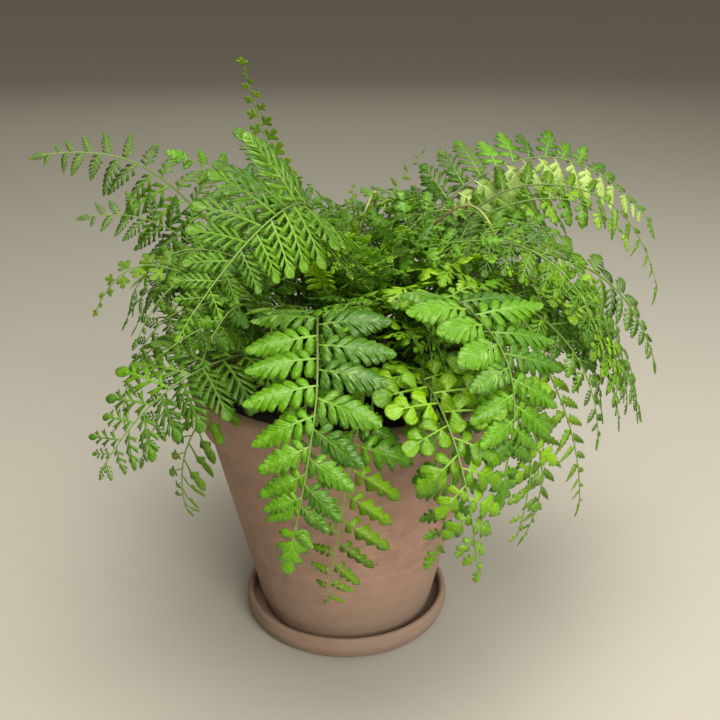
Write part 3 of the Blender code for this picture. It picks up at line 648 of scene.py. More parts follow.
def plan(kind, pairs, leaflet, bare, roll, lift, *path, stout=1, forms=None, under=None, **posture):
    # One frond. leaflet is the longest leaflet's length, bare the part of the stem without leaflets, roll
    # the blade's turn about its stem, and lift how far its leaflets stand up. The stem passes through four
    # points: its root in the crown as heading and distance from the pot's axis, then knee, crest and tip
    # as heading, distance and height, in degrees and mm. stout widens the stem, forms gives the leaflets'
    # forms in place of the kind's own, and under swaps forms on the blade's under side. What else is named
    # replaces a part of the leaflets' posture, or adds to it: uneven lengthens one side's leaflets and
    # shortens the other's, skew turns both sides one way, and face turns them to the light.
    return dict(kind=kind, pairs=pairs, leaflet=leaflet, bare=bare, roll=roll, lift=lift, path=path,
                stout=stout, forms=forms or kindForms.get(kind, ((0, kind),)), under=under or {},
                posture=posture)


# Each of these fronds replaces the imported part's node of that name
fronds = {
    "frond_front_left": plan(
        "broad", 10, 36, 0.38, 0, 5, (262, 30), (263, 92, 221), (266, 150, 200), (262, 168, 131),
        face=0.45, taper=(2.7, 1)),
    "frond_front_right": plan(
        "broad", 10, 38, 0.38, -5, 5, (303, 30), (307, 88, 222), (302, 143, 205), (298, 150, 144),
        face=0.45),
    "frond_front_young": plan(
        "round", 10, 29, 0.34, 8, 5, (287, 40), (291, 100, 192), (289, 148, 184), (293, 160, 112),
        face=0.75),
    "frond_front_slim": plan(
        "slim", 9, 27, 0.5, 14, 0, (273, 40), (276, 100, 186), (271, 143, 158), (267, 149, 98),
        forms=((0, "oak"), (0.22, "band")), spread=(84, 76), skew=-12, taper=(2.2, 0.7), curl=60,
        fold=0.35, twist=14, face=0.3, uneven=0.12),
    "frond_left_wide": plan(
        "cut", 13, 54, 0.26, -45, 5, (238, 17), (250, 48, 262), (252, 108, 268), (246, 165, 232),
        forms=((0, "cut"), (0.86, "sprig")), spread=(70, 46), taper=(1.5, 0.8), uneven=-0.12, face=0.3),
    "frond_far_left": plan(
        "cut", 13, 41, 0.32, -60, 5, (153, 24), (156, 91, 238), (156, 138, 266), (164, 192, 269),
        stout=1.2, forms=((0, "cut"), (0.2, "fine")), spread=(82, 58), taper=(1.5, 0.85), uneven=0.14),
    "frond_left_upper": plan(
        "fine", 10, 34, 0.36, -60, 5, (164, 31), (163, 84, 218), (165, 122, 238), (169, 157, 238),
        taper=(1.5, 0.8), curl=24),
    "frond_spike": plan(
        "fan", 13, 17, 0.36, 80, 5, (125, 12), (145, 36, 240), (140, 60, 285), (159, 59, 328)),
    "frond_left_back": plan(
        "broad", 5, 21, 0.5, -60, 5, (180, 13), (175, 42, 245), (180, 68, 270), (187, 92, 283)),
    "frond_left_yellow": plan(
        "fan", 8, 17, 0.46, -30, 5, (205, 33), (206, 74, 215), (201, 115, 230), (199, 137, 205)),
    "frond_left_dark": plan(
        "feather", 9, 28, 0.4, -35, 0, (176, 43), (165, 85, 205), (165, 112, 200), (167, 138, 170)),
    "frond_left_low": plan(
        "cut", 10, 39, 0.34, -20, 5, (224, 36), (236, 80, 192), (233, 135, 190), (226, 166, 150),
        forms=((0, "cut"), (0.5, "sprig")), taper=(1.8, 0.75), face=0.3),
    "frond_left_comb": plan(
        "feather", 10, 31, 0.42, -30, 5, (214, 22), (222, 75, 200), (229, 105, 210), (227, 130, 200)),
    "frond_left_sprig": plan(
        "paddle", 9, 21, 0.46, 0, 0, (238, 42), (236, 96, 180), (234, 122, 165), (231, 124, 116),
        taper=(2.6, 0.7)),
    "frond_right_back": plan(
        "cut", 17, 36, 0.3, 50, -5, (40, 22), (33, 85, 255), (31, 150, 264), (22, 212, 216),
        forms=((0, "cut"), (0.32, "oak")), under={"cut": "pale", "oak": "pale"}, taper=(1.8, 0.8),
        uneven=-0.06),
    "frond_right_far": plan(
        "slim", 13, 31, 0.36, 40, -10, (18, 32), (20, 105, 255), (18, 165, 242), (12, 194, 184)),
    "frond_right_curl": plan(
        "feather", 13, 34, 0.5, 30, -5, (0, 33), (0, 95, 226), (4, 150, 206), (0, 180, 155), stout=1.5,
        forms=((0, "crisp"), (0.36, "feather"))),
    "frond_right_low": plan(
        "feather", 12, 38, 0.36, 20, 0, (348, 42), (350, 100, 213), (348, 145, 182), (350, 168, 138)),
    "frond_right_hanging": plan(
        "slim", 13, 28, 0.36, 10, 0, (330, 42), (330, 98, 205), (324, 140, 160), (325, 148, 110)),
    "frond_right_silver": plan(
        "cut", 13, 34, 0.32, 25, 0, (338, 22), (344, 75, 240), (336, 118, 232), (332, 150, 183)),
    "frond_right_sprig": plan(
        "slim", 11, 27, 0.42, 0, 0, (314, 43), (314, 105, 180), (313, 138, 160), (308, 141, 108)),
    "frond_back_thin": plan(
        "slim", 5, 12, 0.62, 60, 0, (70, 12), (68, 54, 230), (64, 66, 248), (52, 76, 272)),
    "frond_back_a": plan(
        "feather", 10, 34, 0.38, 0, -10, (57, 34), (60, 85, 222), (58, 140, 222), (55, 185, 170)),
    "frond_back_b": plan(
        "feather", 10, 34, 0.36, 0, -10, (92, 26), (90, 75, 222), (90, 125, 225), (92, 172, 170)),
    "frond_back_c": plan(
        "broad", 8, 34, 0.4, 0, -5, (118, 32), (118, 80, 215), (118, 130, 222), (118, 180, 180)),
    "frond_back_d": plan(
        "slim", 9, 27, 0.42, 0, -5, (76, 42), (75, 100, 195), (75, 140, 180), (76, 165, 125)),
    "frond_back_e": plan(
        "feather", 9, 31, 0.44, 0, -5, (104, 42), (105, 100, 192), (105, 138, 178), (104, 160, 120)),
    "frond_back_f": plan(
        "feather", 9, 30, 0.42, 0, -5, (138, 42), (138, 98, 195), (138, 140, 185), (139, 165, 135)),
    "frond_back_g": plan(
        "oak", 8, 30, 0.42, 0, -5, (42, 43), (45, 100, 200), (45, 140, 185), (44, 165, 130)),
    "frond_back_h": plan(
        "feather", 10, 33, 0.36, -25, 0, (128, 20), (130, 55, 235), (132, 100, 245), (135, 150, 225)),
    "frond_right_side": plan(
        "oak", 9, 33, 0.4, 0, 0, (20, 45), (20, 105, 190), (20, 138, 172), (20, 155, 120)),
    "frond_left_side": plan(
        "slim", 9, 24, 0.42, 0, 0, (196, 44), (197, 88, 188), (202, 116, 180), (207, 130, 148)),
    "frond_inner_a": plan(
        "round", 6, 24, 0.46, 0, 10, (310, 14), (305, 35, 205), (302, 60, 222), (300, 92, 214)),
    "frond_inner_b": plan(
        "round", 6, 24, 0.46, 0, 10, (340, 10), (335, 30, 215), (325, 58, 228), (318, 90, 222)),
    "frond_inner_c": plan(
        "oak", 6, 25, 0.46, 0, 10, (265, 16), (268, 35, 205), (272, 58, 218), (275, 85, 208)),
    "frond_inner_d": plan("oak", 6, 29, 0.44, 30, 10, (60, 6), (45, 28, 225), (30, 55, 242), (20, 90, 238)),
    "frond_inner_e": plan(
        "feather", 7, 29, 0.44, 30, 10, (100, 14), (100, 30, 220), (98, 52, 236), (96, 84, 236)),
    "frond_rim_a": plan(
        "round", 5, 22, 0.46, 0, 5, (281, 24), (280, 60, 180), (279, 86, 186), (278, 106, 170)),
    "frond_rim_b": plan(
        "oak", 6, 22, 0.44, 0, 5, (252, 44), (256, 78, 178), (260, 102, 180), (263, 122, 152)),
}


def cylindrical(heading, reach, height):
    angle = math.radians(heading)
    return Vector((reach * math.cos(angle), reach * math.sin(angle), height)) * mm


def crownHeight(radius):
    return (crown["level"] + crown["rise"] * (1 - (radius / mm / crown["radius"]) ** 2)) * mm


def stemPath(path):
    # Points along a stem, from the floor of its hole through its four points
    root, knee, crest, tip = path
    foot = cylindrical(*root, 0)
    base = crownHeight(foot.length)
    bottom = Vector((foot.x, foot.y, base - (bearing["holeDepth"] - bearing["holeGap"]) * mm))
    foot.z = base + bearing["straightFoot"] * mm
    points = [foot, cylindrical(*knee), cylindrical(*crest), cylindrical(*tip)]
    spans = [(b - a).length for a, b in zip(points, points[1:])]
    runs = [(b - a) / span for a, b, span in zip(points, points[1:], spans)]
    slopes = [Vector((0, 0, 1.1))]
    for i in (0, 1):
        slopes.append((runs[i] * spans[i + 1] + runs[i + 1] * spans[i]) / (spans[i] + spans[i + 1]))
    slopes.append(2 * runs[2] - slopes[2])
    line = [bottom, foot]
    for i in range(3):
        for step in range(1, bearing["curveSteps"] + 1):
            t = step / bearing["curveSteps"]
            near = points[i] * (2 * t**3 - 3 * t**2 + 1) + slopes[i] * spans[i] * (t**3 - 2 * t**2 + t)
            far = points[i + 1] * (3 * t**2 - 2 * t**3) + slopes[i + 1] * spans[i] * (t**3 - t**2)
            line.append(near + far)
    return line


def lengthsAlong(line):
    lengths = [0.0]
    for a, b in zip(line, line[1:]):
        lengths.append(lengths[-1] + (b - a).length)
    return lengths


def levelAcross(line):
    # The level direction across a stem
    span = line[-1] - line[0]
    return Vector((-span.y, span.x, 0)).normalized()


class Rib:
    # A frond's curve, with the directions along it, across the blade and off the blade

    def __init__(self, frond):
        self.frond = frond
        self.posture = {**postures[frond["kind"]], **frond["posture"]}
        self.line = stemPath(frond["path"])
        self.directions = [Vector((0, 0, 1)), Vector((0, 0, 1))]
        for i in range(2, len(self.line)):
            ahead = self.line[min(i + 1, len(self.line) - 1)]
            self.directions.append((ahead - self.line[i - 1]).normalized())
        self.lengths = lengthsAlong(self.line)
        self.length = self.lengths[-1]
        self.start = frond["bare"] * self.length
        self.level = levelAcross(self.line)

    def at(self, distance):
        i = 1
        while i < len(self.line) - 1 and self.lengths[i] < distance:
            i += 1
        part = (distance - self.lengths[i - 1]) / (self.lengths[i] - self.lengths[i - 1])
        point = self.line[i - 1].lerp(self.line[i], part)
        along = self.directions[i - 1].lerp(self.directions[i], part).normalized()
        across = squareTo(self.level, along)
        angle = math.radians(self.frond["roll"]) * min(1, distance / self.length / bearing["rollEnd"])
        across.rotate(Matrix.Rotation(angle, 3, along))
        return point, along, across, along.cross(across)

    def radius(self, distance):
        thick, thin = bearing["stemWidths"]
        return (thick + (thin - thick) * distance / self.length) * self.frond["stout"] * mm / 2

    def bladePart(self, distance):
        return max(0, min(1, (distance - self.start) / (self.length - self.start)))

    def leafletLength(self, distance):
        u = self.bladePart(distance)
        power, root = self.posture["taper"]
        first, growth = bearing["footLength"]
        swell = first + growth * min(1, u / bearing["fullFrom"])
        return self.frond["leaflet"] * mm * max(bearing["shortest"], swell * (1 - u ** power) ** root)

    def pairs(self):
        count = self.frond["pairs"]
        span = (self.length - self.start) * (1 - self.posture["end"])
        rests = [1 - (i + bearing["firstPair"]) / count for i in range(count)]
        return [self.start + span * (1 - rest ** self.posture["crowding"]) for rest in rests]


def rolledTube(name, rings, sides, grooveFrom):
    # A stem: a grid rolled up round its rings of point, across, normal, radius and part of the length,
    # closed at both ends, with a groove along its top from grooveFrom on
    tube = addGrid(name, len(rings), sides + 1)
    for index, vertex in enumerate(tube.data.vertices):
        row, column = divmod(index, len(rings))
        point, across, normal, radius, part = rings[column]
        angle = math.tau * (row % sides) / sides
        if row == sides // 4 and part > grooveFrom:
            radius *= 1 - bearing["groove"]
        vertex.co = point + across * math.cos(angle) * radius + normal * math.sin(angle) * radius
    uv = tube.data.uv_layers[0]
    uv.name = "leaf"
    for loop in tube.data.loops:
        uv.data[loop.index].uv.x = rings[loop.vertex_index % len(rings)][4]
    tube.data.uv_layers.new(name="tone")
    weld(tube, weldAt, holes=True)
    smoothed(tube, 50)
    return tube


def stemTube(name, rib, end):
    first = rib.lengths[1]
    steps = max(6, round((end - first) / (bearing["stemStep"] * mm)))
    rings = []
    for distance in [0, first] + [first + (end - first) * i / steps for i in range(1, steps + 1)]:
        point, _, across, normal = rib.at(distance)
        rings.append((point, across, normal, rib.radius(distance), distance / rib.length))
    return rolledTube(name, rings, bearing["stemSides"], bearing["grooveFrom"])


def placeLeaflet(master, rib, distance, side, length, draw):
    # A copy of the leaflet, bent and set on the stem. side is -1 or 1, and 0 for the one at the tip.
    frond = rib.frond
    posture = {**rib.posture, **postures[master.name.split("Leaflet")[0]], **frond["posture"]}
    point, along, across, normal = rib.at(distance)
    u = rib.bladePart(distance)
    spread = posture["spread"][0] + (posture["spread"][1] - posture["spread"][0]) * u
    spread += draw.uniform(-1, 1) * bearing["yaw"] + side * posture.get("skew", 0)
    spread = math.radians(spread) * abs(side)
    out = along * math.cos(spread) + across * side * math.sin(spread)
    lift = math.radians(frond["lift"] + bearing["rise"] + draw.uniform(-1, 1) * bearing["tilt"])
    turn = Matrix.Rotation(lift, 3, along * side if side else -across)
    out, up = turn @ out, turn @ normal
    outwards, upwards = bearing["light"]
    light = Vector((point.x, point.y, 0)).normalized() * outwards + Vector((0, 0, upwards))
    up = squareTo(up.lerp(light, posture.get("face", bearing["face"])), out)
    up.rotate(Matrix.Rotation(math.radians(draw.uniform(-1, 1) * bearing["roll"]), 3, out))
    toward = up.cross(out)
    start = point + across * side * rib.radius(distance) * 0.5
    curl = math.radians(posture["curl"] * draw.uniform(*bearing["curls"]))
    twist = math.radians(posture["twist"] * draw.uniform(-1, 1))
    sag = Vector((0, 0, -posture["sag"] * length))
    leaflet = copied(master)
    for vertex in leaflet.data.vertices:
        x, y, z = vertex.co
        z -= posture["fold"] * abs(y)
        angle = curl * x
        cosine, sine = math.cos(twist * x), math.sin(twist * x)
        y, z = y * cosine - z * sine, y * sine + z * cosine
        reach = out * math.sin(angle) / curl - up * (1 - math.cos(angle)) / curl
        rise = (up * math.cos(angle) + out * math.sin(angle)) * z
        vertex.co = start + (reach + toward * y + rise) * length + sag * x * x
    look = (draw.random(), u)
    for corner in leaflet.data.uv_layers["tone"].data:
        corner.uv = look
    return leaflet


def growFrond(label, frond, masters, stemSkin):
    draw = random.Random(label)
    rib = Rib(frond)
    middles = rib.pairs()
    leaflets = []
    for distance, following in zip(middles, middles[1:] + [rib.length]):
        for side in (-1, 1):
            place = distance + side * bearing["alternate"] * (following - distance)
            length = rib.leafletLength(place) * draw.uniform(*bearing["lengths"])
            length *= 1 + side * rib.posture.get("uneven", 0)
            for start, name in frond["forms"]:
                if rib.bladePart(place) >= start:
                    form = name
            if side < 0:
                form = frond["under"].get(form, form)
            leaflets.append(placeLeaflet(masters[form][side], rib, place, side, length, draw))
    end = rib.length - (rib.length - rib.start) * rib.posture["end"]
    master = masters[endForm.get(form, form)][-1]
    leaflets.append(placeLeaflet(master, rib, end, 0, bearing["endLength"] * (rib.length - end), draw))
    blade = joined(leaflets, label + "Blade")
    thickened(blade, bearing["thickness"] * mm, 1)
    stem = stemTube(label + "Stem", rib, end + bearing["stemPast"] * (rib.length - end))
    stem.data.materials.append(stemSkin)
    return joined([blade, stem], label)


# Short fronds that fill the heart of the plant, in layers from its middle to the rim: how many, root, knee,
# crest and tip as ranges of reach and height, leaflet lengths, and the headings that stay free
fillers = {
    "pairs": (5, 7), "bare": (0.32, 0.44), "roll": 40, "lift": (0, 14), "stray": 14, "rootStray": 20,
    "goldenAngle": 137.5, "headingStray": 8, "sidestep": 79,
    "kinds": ["oak", "sprig", "sprig", "feather", "slim"],
    "frontKinds": ["oak", "sprig", "clover", "clover", "feather"],
    "front": (20, 262),                # headings between which the kinds are not the front's
    "layers": [
        dict(name="heart", count=26, root=(3, 22), knee=(14, 34, 205, 222), crest=(26, 60, 226, 248),
             tip=(46, 90, 226, 252), leaflet=(20, 27), free=()),
        dict(name="middle", count=34, root=(14, 38), knee=(40, 66, 188, 214), crest=(68, 98, 200, 230),
             tip=(98, 132, 180, 216), leaflet=(21, 28), free=()),
        dict(name="edge", count=22, root=(28, 44), knee=(62, 82, 166, 182), crest=(88, 106, 172, 190),
             tip=(106, 128, 150, 176), leaflet=(17, 22), free=((226, 300),)),
    ],
}


def fillerFrond(layer, index, draw):
    # A short frond's own plan, on a heading that the golden angle gives
    heading = (index * fillers["goldenAngle"] + draw.uniform(-1, 1) * fillers["headingStray"]) % 360
    while any(low < heading < high for low, high in layer["free"]):
        heading = (heading + fillers["sidestep"]) % 360
    places = []
    for ring in ("knee", "crest", "tip"):
        near, far, low, high = layer[ring]
        turn = heading + draw.uniform(-1, 1) * fillers["stray"]
        places.append((turn, draw.uniform(near, far), draw.uniform(low, high)))
    frontEnd, frontStart = fillers["front"]
    kinds = fillers["frontKinds" if heading > frontStart or heading < frontEnd else "kinds"]
    root = (heading + draw.uniform(-1, 1) * fillers["rootStray"], draw.uniform(*layer["root"]))
    kind, pairs = draw.choice(kinds), draw.randint(*fillers["pairs"])
    leaflet, bare = draw.uniform(*layer["leaflet"]), draw.uniform(*fillers["bare"])
    roll, lift = draw.uniform(-1, 1) * fillers["roll"], draw.uniform(*fillers["lift"])
    return plan(kind, pairs, leaflet, bare, roll, lift, root, *places)


# Further fronds between the main ones, where the photograph shows dense leaves
extras = {
    "right": [
        plan("oak", 8, 28, 0.42, 25, 0, (6, 30), (6, 75, 236), (4, 105, 240), (0, 130, 218)),
        plan("sprig", 8, 28, 0.58, 20, 0, (350, 38), (350, 92, 218), (350, 138, 196), (351, 160, 140)),
        plan("clover", 7, 25, 0.62, 10, 0, (345, 35), (346, 90, 222), (345, 130, 205), (342, 154, 150)),
        plan("oak", 9, 29, 0.4, 30, -5, (28, 30), (28, 80, 234), (28, 118, 236), (25, 146, 206)),
        plan("clover", 7, 23, 0.62, 20, 0, (3, 38), (2, 95, 206), (2, 140, 184), (3, 166, 132)),
        plan("feather", 10, 30, 0.42, 10, 0, (333, 38), (334, 92, 214), (332, 130, 194), (331, 150, 142)),
        plan("oak", 8, 29, 0.42, 40, -5, (45, 24), (42, 80, 242), (38, 130, 246), (34, 172, 214)),
        plan("sprig", 8, 27, 0.64, 10, 0, (356, 34), (356, 100, 208), (357, 150, 182), (355, 168, 130)),
        plan("feather", 10, 27, 0.46, 5, 0, (350, 40), (350, 98, 200), (349, 138, 178), (346, 156, 136)),
        plan("feather", 10, 27, 0.44, 5, 0, (340, 38), (343, 92, 212), (345, 128, 190), (344, 146, 142)),
        plan("crisp", 6, 20, 0.64, 30, 5, (14, 26), (14, 90, 246), (14, 140, 246), (10, 170, 222)),
    ],
    "left": [
        plan("oak", 7, 25, 0.42, -25, 0, (185, 32), (186, 70, 222), (184, 100, 222), (182, 122, 194)),
        plan("feather", 8, 27, 0.4, -20, 0, (210, 30), (212, 72, 210), (212, 104, 208), (210, 126, 178)),
        plan("oak", 7, 24, 0.42, -25, 0, (170, 36), (170, 75, 210), (168, 104, 206), (166, 126, 176)),
        plan("feather", 9, 29, 0.42, -10, 0, (228, 40), (230, 88, 190), (230, 122, 184), (228, 146, 150)),
        plan("oak", 7, 24, 0.46, -30, 5, (200, 20), (202, 55, 226), (200, 84, 236), (196, 112, 224)),
        plan("slim", 3, 18, 0.64, 0, 5, (240, 30), (240, 58, 174), (240, 80, 184), (236, 97, 178)),
    ],
    "front": [
        plan("round", 8, 23, 0.44, 5, 5, (306, 34), (309, 92, 206), (307, 138, 186), (303, 150, 118)),
        plan("round", 5, 22, 0.5, -10, 5, (296, 42), (297, 84, 188), (292, 112, 188), (286, 130, 166)),
        plan("oak", 6, 24, 0.56, 0, 0, (292, 42), (293, 96, 184), (291, 138, 168), (285, 152, 118)),
        plan("light", 1, 8, 0.74, 0, 20, (280, 12), (270, 30, 205), (258, 52, 222), (272, 70, 230),
             end=0.9),
        plan("round", 5, 24, 0.4, 0, 8, (294, 34), (296, 58, 202), (297, 84, 210), (293, 108, 198)),
    ],
    "centre": [
        plan("clover", 7, 23, 0.42, 10, 5, (330, 20), (332, 55, 224), (334, 85, 236), (336, 112, 216)),
        plan("clover", 7, 23, 0.42, 10, 5, (350, 25), (352, 60, 226), (352, 95, 234), (350, 126, 206)),
        plan("oak", 7, 26, 0.42, 0, 5, (318, 25), (320, 60, 214), (322, 95, 222), (322, 124, 196)),
        plan("oak", 8, 27, 0.42, 10, 0, (80, 20), (75, 55, 232), (70, 90, 242), (66, 126, 226)),
        plan("feather", 8, 27, 0.42, 20, 0, (50, 20), (48, 60, 236), (45, 100, 246), (42, 140, 228)),
        plan("comb", 13, 14, 0.5, -20, 10, (90, 8), (85, 14, 212), (62, 22, 242), (14, 64, 247)),
        plan("fan", 6, 13, 0.6, 0, 10, (110, 12), (92, 16, 216), (84, 22, 240), (80, 28, 258)),
        plan("slim", 7, 14, 0.6, 20, 0, (150, 12), (165, 30, 232), (150, 46, 266), (112, 38, 251)),
    ],
}


def growArea(area, plans, naming, masters, stemSkin):
    # Grows the fronds of one area and joins those of each kind
    grown = {}
    for index, frond in enumerate(plans):
        piece = growFrond(area + naming + str(index), frond, masters, stemSkin)
        grown.setdefault(frond["kind"], []).append(piece)
    for kind, pieces in grown.items():
        piece = joined(pieces, area + kind.title() + naming + "s")
        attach(piece, "root")
    print(area, "fronds grown:", len(plans))


def growPlants():
    stemSkin = stemMaterial()
    masters = {}
    skins = {kind: (leafMaterial(kind, False), leafMaterial(kind, True)) for kind in leafFinishes}
    for kind in leafletForms:
        masters[kind] = {-1: shapeLeaflet(kind, False), 1: shapeLeaflet(kind, True)}
        for master in masters[kind].values():
            for skin in skins[dressedAs.get(kind, kind)]:
                master.data.materials.append(skin)
        print(kind, "leaflet:", len(masters[kind][1].data.polygons), "faces")
    for node, frond in fronds.items():
        piece = growFrond(camel(node), frond, masters, stemSkin)
        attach(piece, "root")
        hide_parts(node)
    print("main fronds grown:", len(fronds))
    draw = random.Random("fillers")
    for layer in fillers["layers"]:
        plans = [fillerFrond(layer, index, draw) for index in range(layer["count"])]
        growArea(layer["name"], plans, "Frond", masters, stemSkin)
    for area, plans in extras.items():
        growArea(area, plans, "Extra", masters, stemSkin)
    skin = crozierMaterial()
    for node, young in croziers.items():
        growCrozier(node, young, masters["round"][1], skin)
    print("croziers grown:", len(croziers))
    for sides in masters.values():
        for master in sides.values():
            bpy.data.objects.remove(master)


# Croziers: young fronds whose tips are still rolled up

croziers = {
    "crozier_right": dict(path=((10, 20), (5, 44, 236), (2, 68, 252), (353, 84, 232)), coil=7.0, turns=1.4),
    "crozier_back": dict(path=((75, 24), (80, 40, 215), (78, 46, 232), (74, 56, 246)), coil=6.0, turns=1.3),
}
crozierShape = {
    "radii": (1.25, 0.55), "sides": 10, "coilSteps": 12, "coilShrink": 0.66,
    "buds": 9, "budLength": 5.5, "budShrink": 0.4, "budLengths": (0.85, 1.1),
    "budFold": 0.5, "budCurl": 1.5, "budWidth": 0.8,
    "foot": (0.060, 0.030, 0.014), "tip": (0.330, 0.380, 0.110), "roughness": 0.55,
}


def crozierMaterial():
    material, tree, shader = newMaterial("crozierSkin", crozierShape["roughness"])
    grain = noiseOf(objectCoords(tree), 1100, 3)
    place = total((partsOf(uvCoords(tree, "leaf"))[0], 1), (fromMiddle(grain), 0.3))
    colour = mixColours(ramp(place, 0.52, 0.80), crozierShape["foot"], crozierShape["tip"])
    feed(shader, "Base Color", colour)
    addBump(shader, grain, 0.5, 0.0005)
    return material


def growCrozier(node, young, master, skin):
    # The stem runs on into a coil that turns inwards, with buds along it
    line = stemPath(young["path"])
    level = levelAcross(line)
    along = (line[-1] - line[-2]).normalized()
    inward = level.cross(along).normalized()
    coil = young["coil"] * mm
    centre = line[-1] + inward * coil
    steps = round(crozierShape["coilSteps"] * young["turns"])
    for i in range(1, steps + 1):
        angle = math.tau * young["turns"] * i / steps
        radius = coil * (1 - crozierShape["coilShrink"] * i / steps)
        line.append(centre - inward * math.cos(angle) * radius + along * math.sin(angle) * radius)
    lengths = lengthsAlong(line)
    thick, thin = crozierShape["radii"]
    rings = []
    for i, point in enumerate(line):
        course = (line[min(i + 1, len(line) - 1)] - line[max(i - 1, 0)]).normalized()
        part = lengths[i] / lengths[-1]
        across = squareTo(level, course)
        rings.append((point, across, course.cross(across), (thick + (thin - thick) * part) * mm, part))
    stem = rolledTube(node + "Stem", rings, crozierShape["sides"], 2)
    stem.data.materials.append(skin)
    draw = random.Random(node)
    first, count = len(line) - steps - 6, crozierShape["buds"]
    fold, curl, width = crozierShape["budFold"], crozierShape["budCurl"], crozierShape["budWidth"]
    buds = []
    for i in range(count):       # small leaflets that still lie along the roll
        spot = first + i * (steps + 3) // count
        point, across, normal, _, _ = rings[spot]
        course = (line[spot + 1] - point).normalized()
        side = 1 if i % 2 else -1
        out = (course * 0.6 + across * side * 0.7 - normal * 0.2).normalized()
        up = squareTo(normal, out)
        bud = copied(master)
        length = crozierShape["budLength"] * mm * (1 - crozierShape["budShrink"] * i / count)
        length *= draw.uniform(*crozierShape["budLengths"])
        for vertex in bud.data.vertices:
            x, y, z = vertex.co
            z -= fold * abs(y)
            reach = out * math.sin(curl * x) / curl - up * (1 - math.cos(curl * x)) / curl
            vertex.co = point + (reach + up.cross(out) * y * width + up * z) * length
        thickened(bud, bearing["thickness"] * mm, 1)
        buds.append(bud)
    piece = joined([stem, *buds], camel(node))
    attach(piece, "root")
    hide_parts(node)


# Soil and the root crown

soil = {
    "top": 143.0, "gap": 0.3, "rings": 40, "sides": 120,
    "sunkTo": 0.55, "sunkDepth": 8,          # the middle lies lower, under the root crown
    "lumps": 1.6, "lumpScale": 90, "waves": 1.2, "waveLength": 9,
    "crumbs": 420, "crumbSize": (0.5, 1.9), "crumbReach": (0.30, 0.985),
    "crumbWidth": (0.7, 1.3), "crumbHeight": (0.5, 0.9), "crumbLift": 0.2, "crumbKnobs": 0.25,
    "dark": (0.008, 0.005, 0.004), "brown": (0.040, 0.026, 0.017), "grit": (0.110, 0.070, 0.042),
}


def outerRadius(height):
    # The pot's taper below its collar
    return pot["baseRadius"] + pot["slope"] * (height - pot["bottom"])


def innerRadius(height):
    collarFoot = pot["rimHeight"] - pot["collarDepth"]
    if height <= collarFoot:
        return outerRadius(height) - pot["wall"]
    low = outerRadius(collarFoot) - pot["wall"]
    return low + (pot["rimRadius"] - pot["rimWall"] - low) * (height - collarFoot) / pot["collarDepth"]


def soilMaterial():
    material, tree, shader = newMaterial("darkSoil", 0.95)
    place = objectCoords(tree)
    lumps = noiseOf(place, 140, 5, 0.65)
    grit = noiseOf(place, 700, 3)
    colour = mixColours(ramp(lumps, 0.35, 0.65), soil["dark"], soil["brown"])
    feed(shader, "Base Color", mixColours(ramp(grit, 0.60, 0.72, 0, 0.6), colour, soil["grit"]))
    addBump(shader, total((lumps, 1), (grit, 0.6)), 0.8, 0.002)
    return material


def soilRise(x, y):
    # How far the surface rises, in mm, at a place in metres
    rough = noise.fractal(Vector((x, y, 0.3)) * soil["lumpScale"], 0.7, 2.1, 4) * soil["lumps"]
    return rough + soil["waves"] * math.cos(math.hypot(x, y) / mm / soil["waveLength"])


def makeSoil():
    gap, top, rings, corner = soil["gap"], soil["top"], soil["rings"], pot["floorRound"]
    floor = pot["bottom"] + pot["floor"] + gap
    collarFoot = pot["rimHeight"] - pot["collarDepth"]
    edge = innerRadius(top) - gap
    profile = []
    for i in range(rings + 1):
        profile.append((edge * i / rings, top - (soil["sunkDepth"] if i < soil["sunkTo"] * rings else 0)))
    profile += [(innerRadius(height) - gap, height) for height in (collarFoot, floor + corner)]
    profile += [(innerRadius(floor) - corner, floor), (0, floor)]
    body = spun("soilBody", profile, soil["sides"])
    for vertex in body.data.vertices:
        x, y, z = vertex.co
        if z > (top - 10) * mm and math.hypot(x, y) < (edge - 1) * mm:    # the surface without its edge
            vertex.co.z += soilRise(x, y) * mm
    draw = random.Random("crumbs")
    bpy.ops.object.select_all(action="DESELECT")
    bpy.ops.mesh.primitive_ico_sphere_add(subdivisions=1, radius=1)
    lump = bpy.context.object
    pieces = [body]
    for i in range(soil["crumbs"]):
        reach = math.sqrt(draw.uniform(*soil["crumbReach"])) * edge
        angle = draw.uniform(0, math.tau)
        size = draw.uniform(*soil["crumbSize"])
        piece = copied(lump)
        x, y = reach * math.cos(angle), reach * math.sin(angle)
        place = Vector((x, y, top + soilRise(x * mm, y * mm) + soil["crumbLift"] * size))
        ways = ("crumbWidth", "crumbWidth", "crumbHeight")
        stretch = Vector([draw.uniform(*soil[way]) for way in ways])
        turn = Matrix.Rotation(draw.uniform(0, math.tau), 3, "Z")
        for vertex in piece.data.vertices:
            knob = 1 + soil["crumbKnobs"] * noise.noise(vertex.co * 1.7 + Vector((i, 0, 0)))
            vertex.co = (place + turn @ (vertex.co * stretch * knob * size)) * mm
        pieces.append(piece)
    bpy.data.objects.remove(lump)
    whole = joined(pieces, "soilTop")
    smoothed(whole, 45)
    whole.data.materials.append(soilMaterial())
    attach(whole, "root")
    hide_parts("soil")
    print("soil made")


rootstock = {
    "rings": 22, "sides": 90, "knobs": 1.3, "knobScale": 110,
    "scales": 260, "scaleLength": 6.0, "scaleSizes": (0.6, 1.3), "scaleThickness": 0.25,
    "scaleSpread": (1.2, 2.6), "scaleSunk": 0.4, "scaleRise": (50, 84), "scaleLean": (-0.6, 0.9),
    "scaleHalves": (0.10, 0.17, 0.15, 0.09, 0.0),      # a scale's half widths from its foot to its point
    "dark": (0.018, 0.010, 0.006), "brown": (0.095, 0.052, 0.026), "green": (0.060, 0.062, 0.020),
}


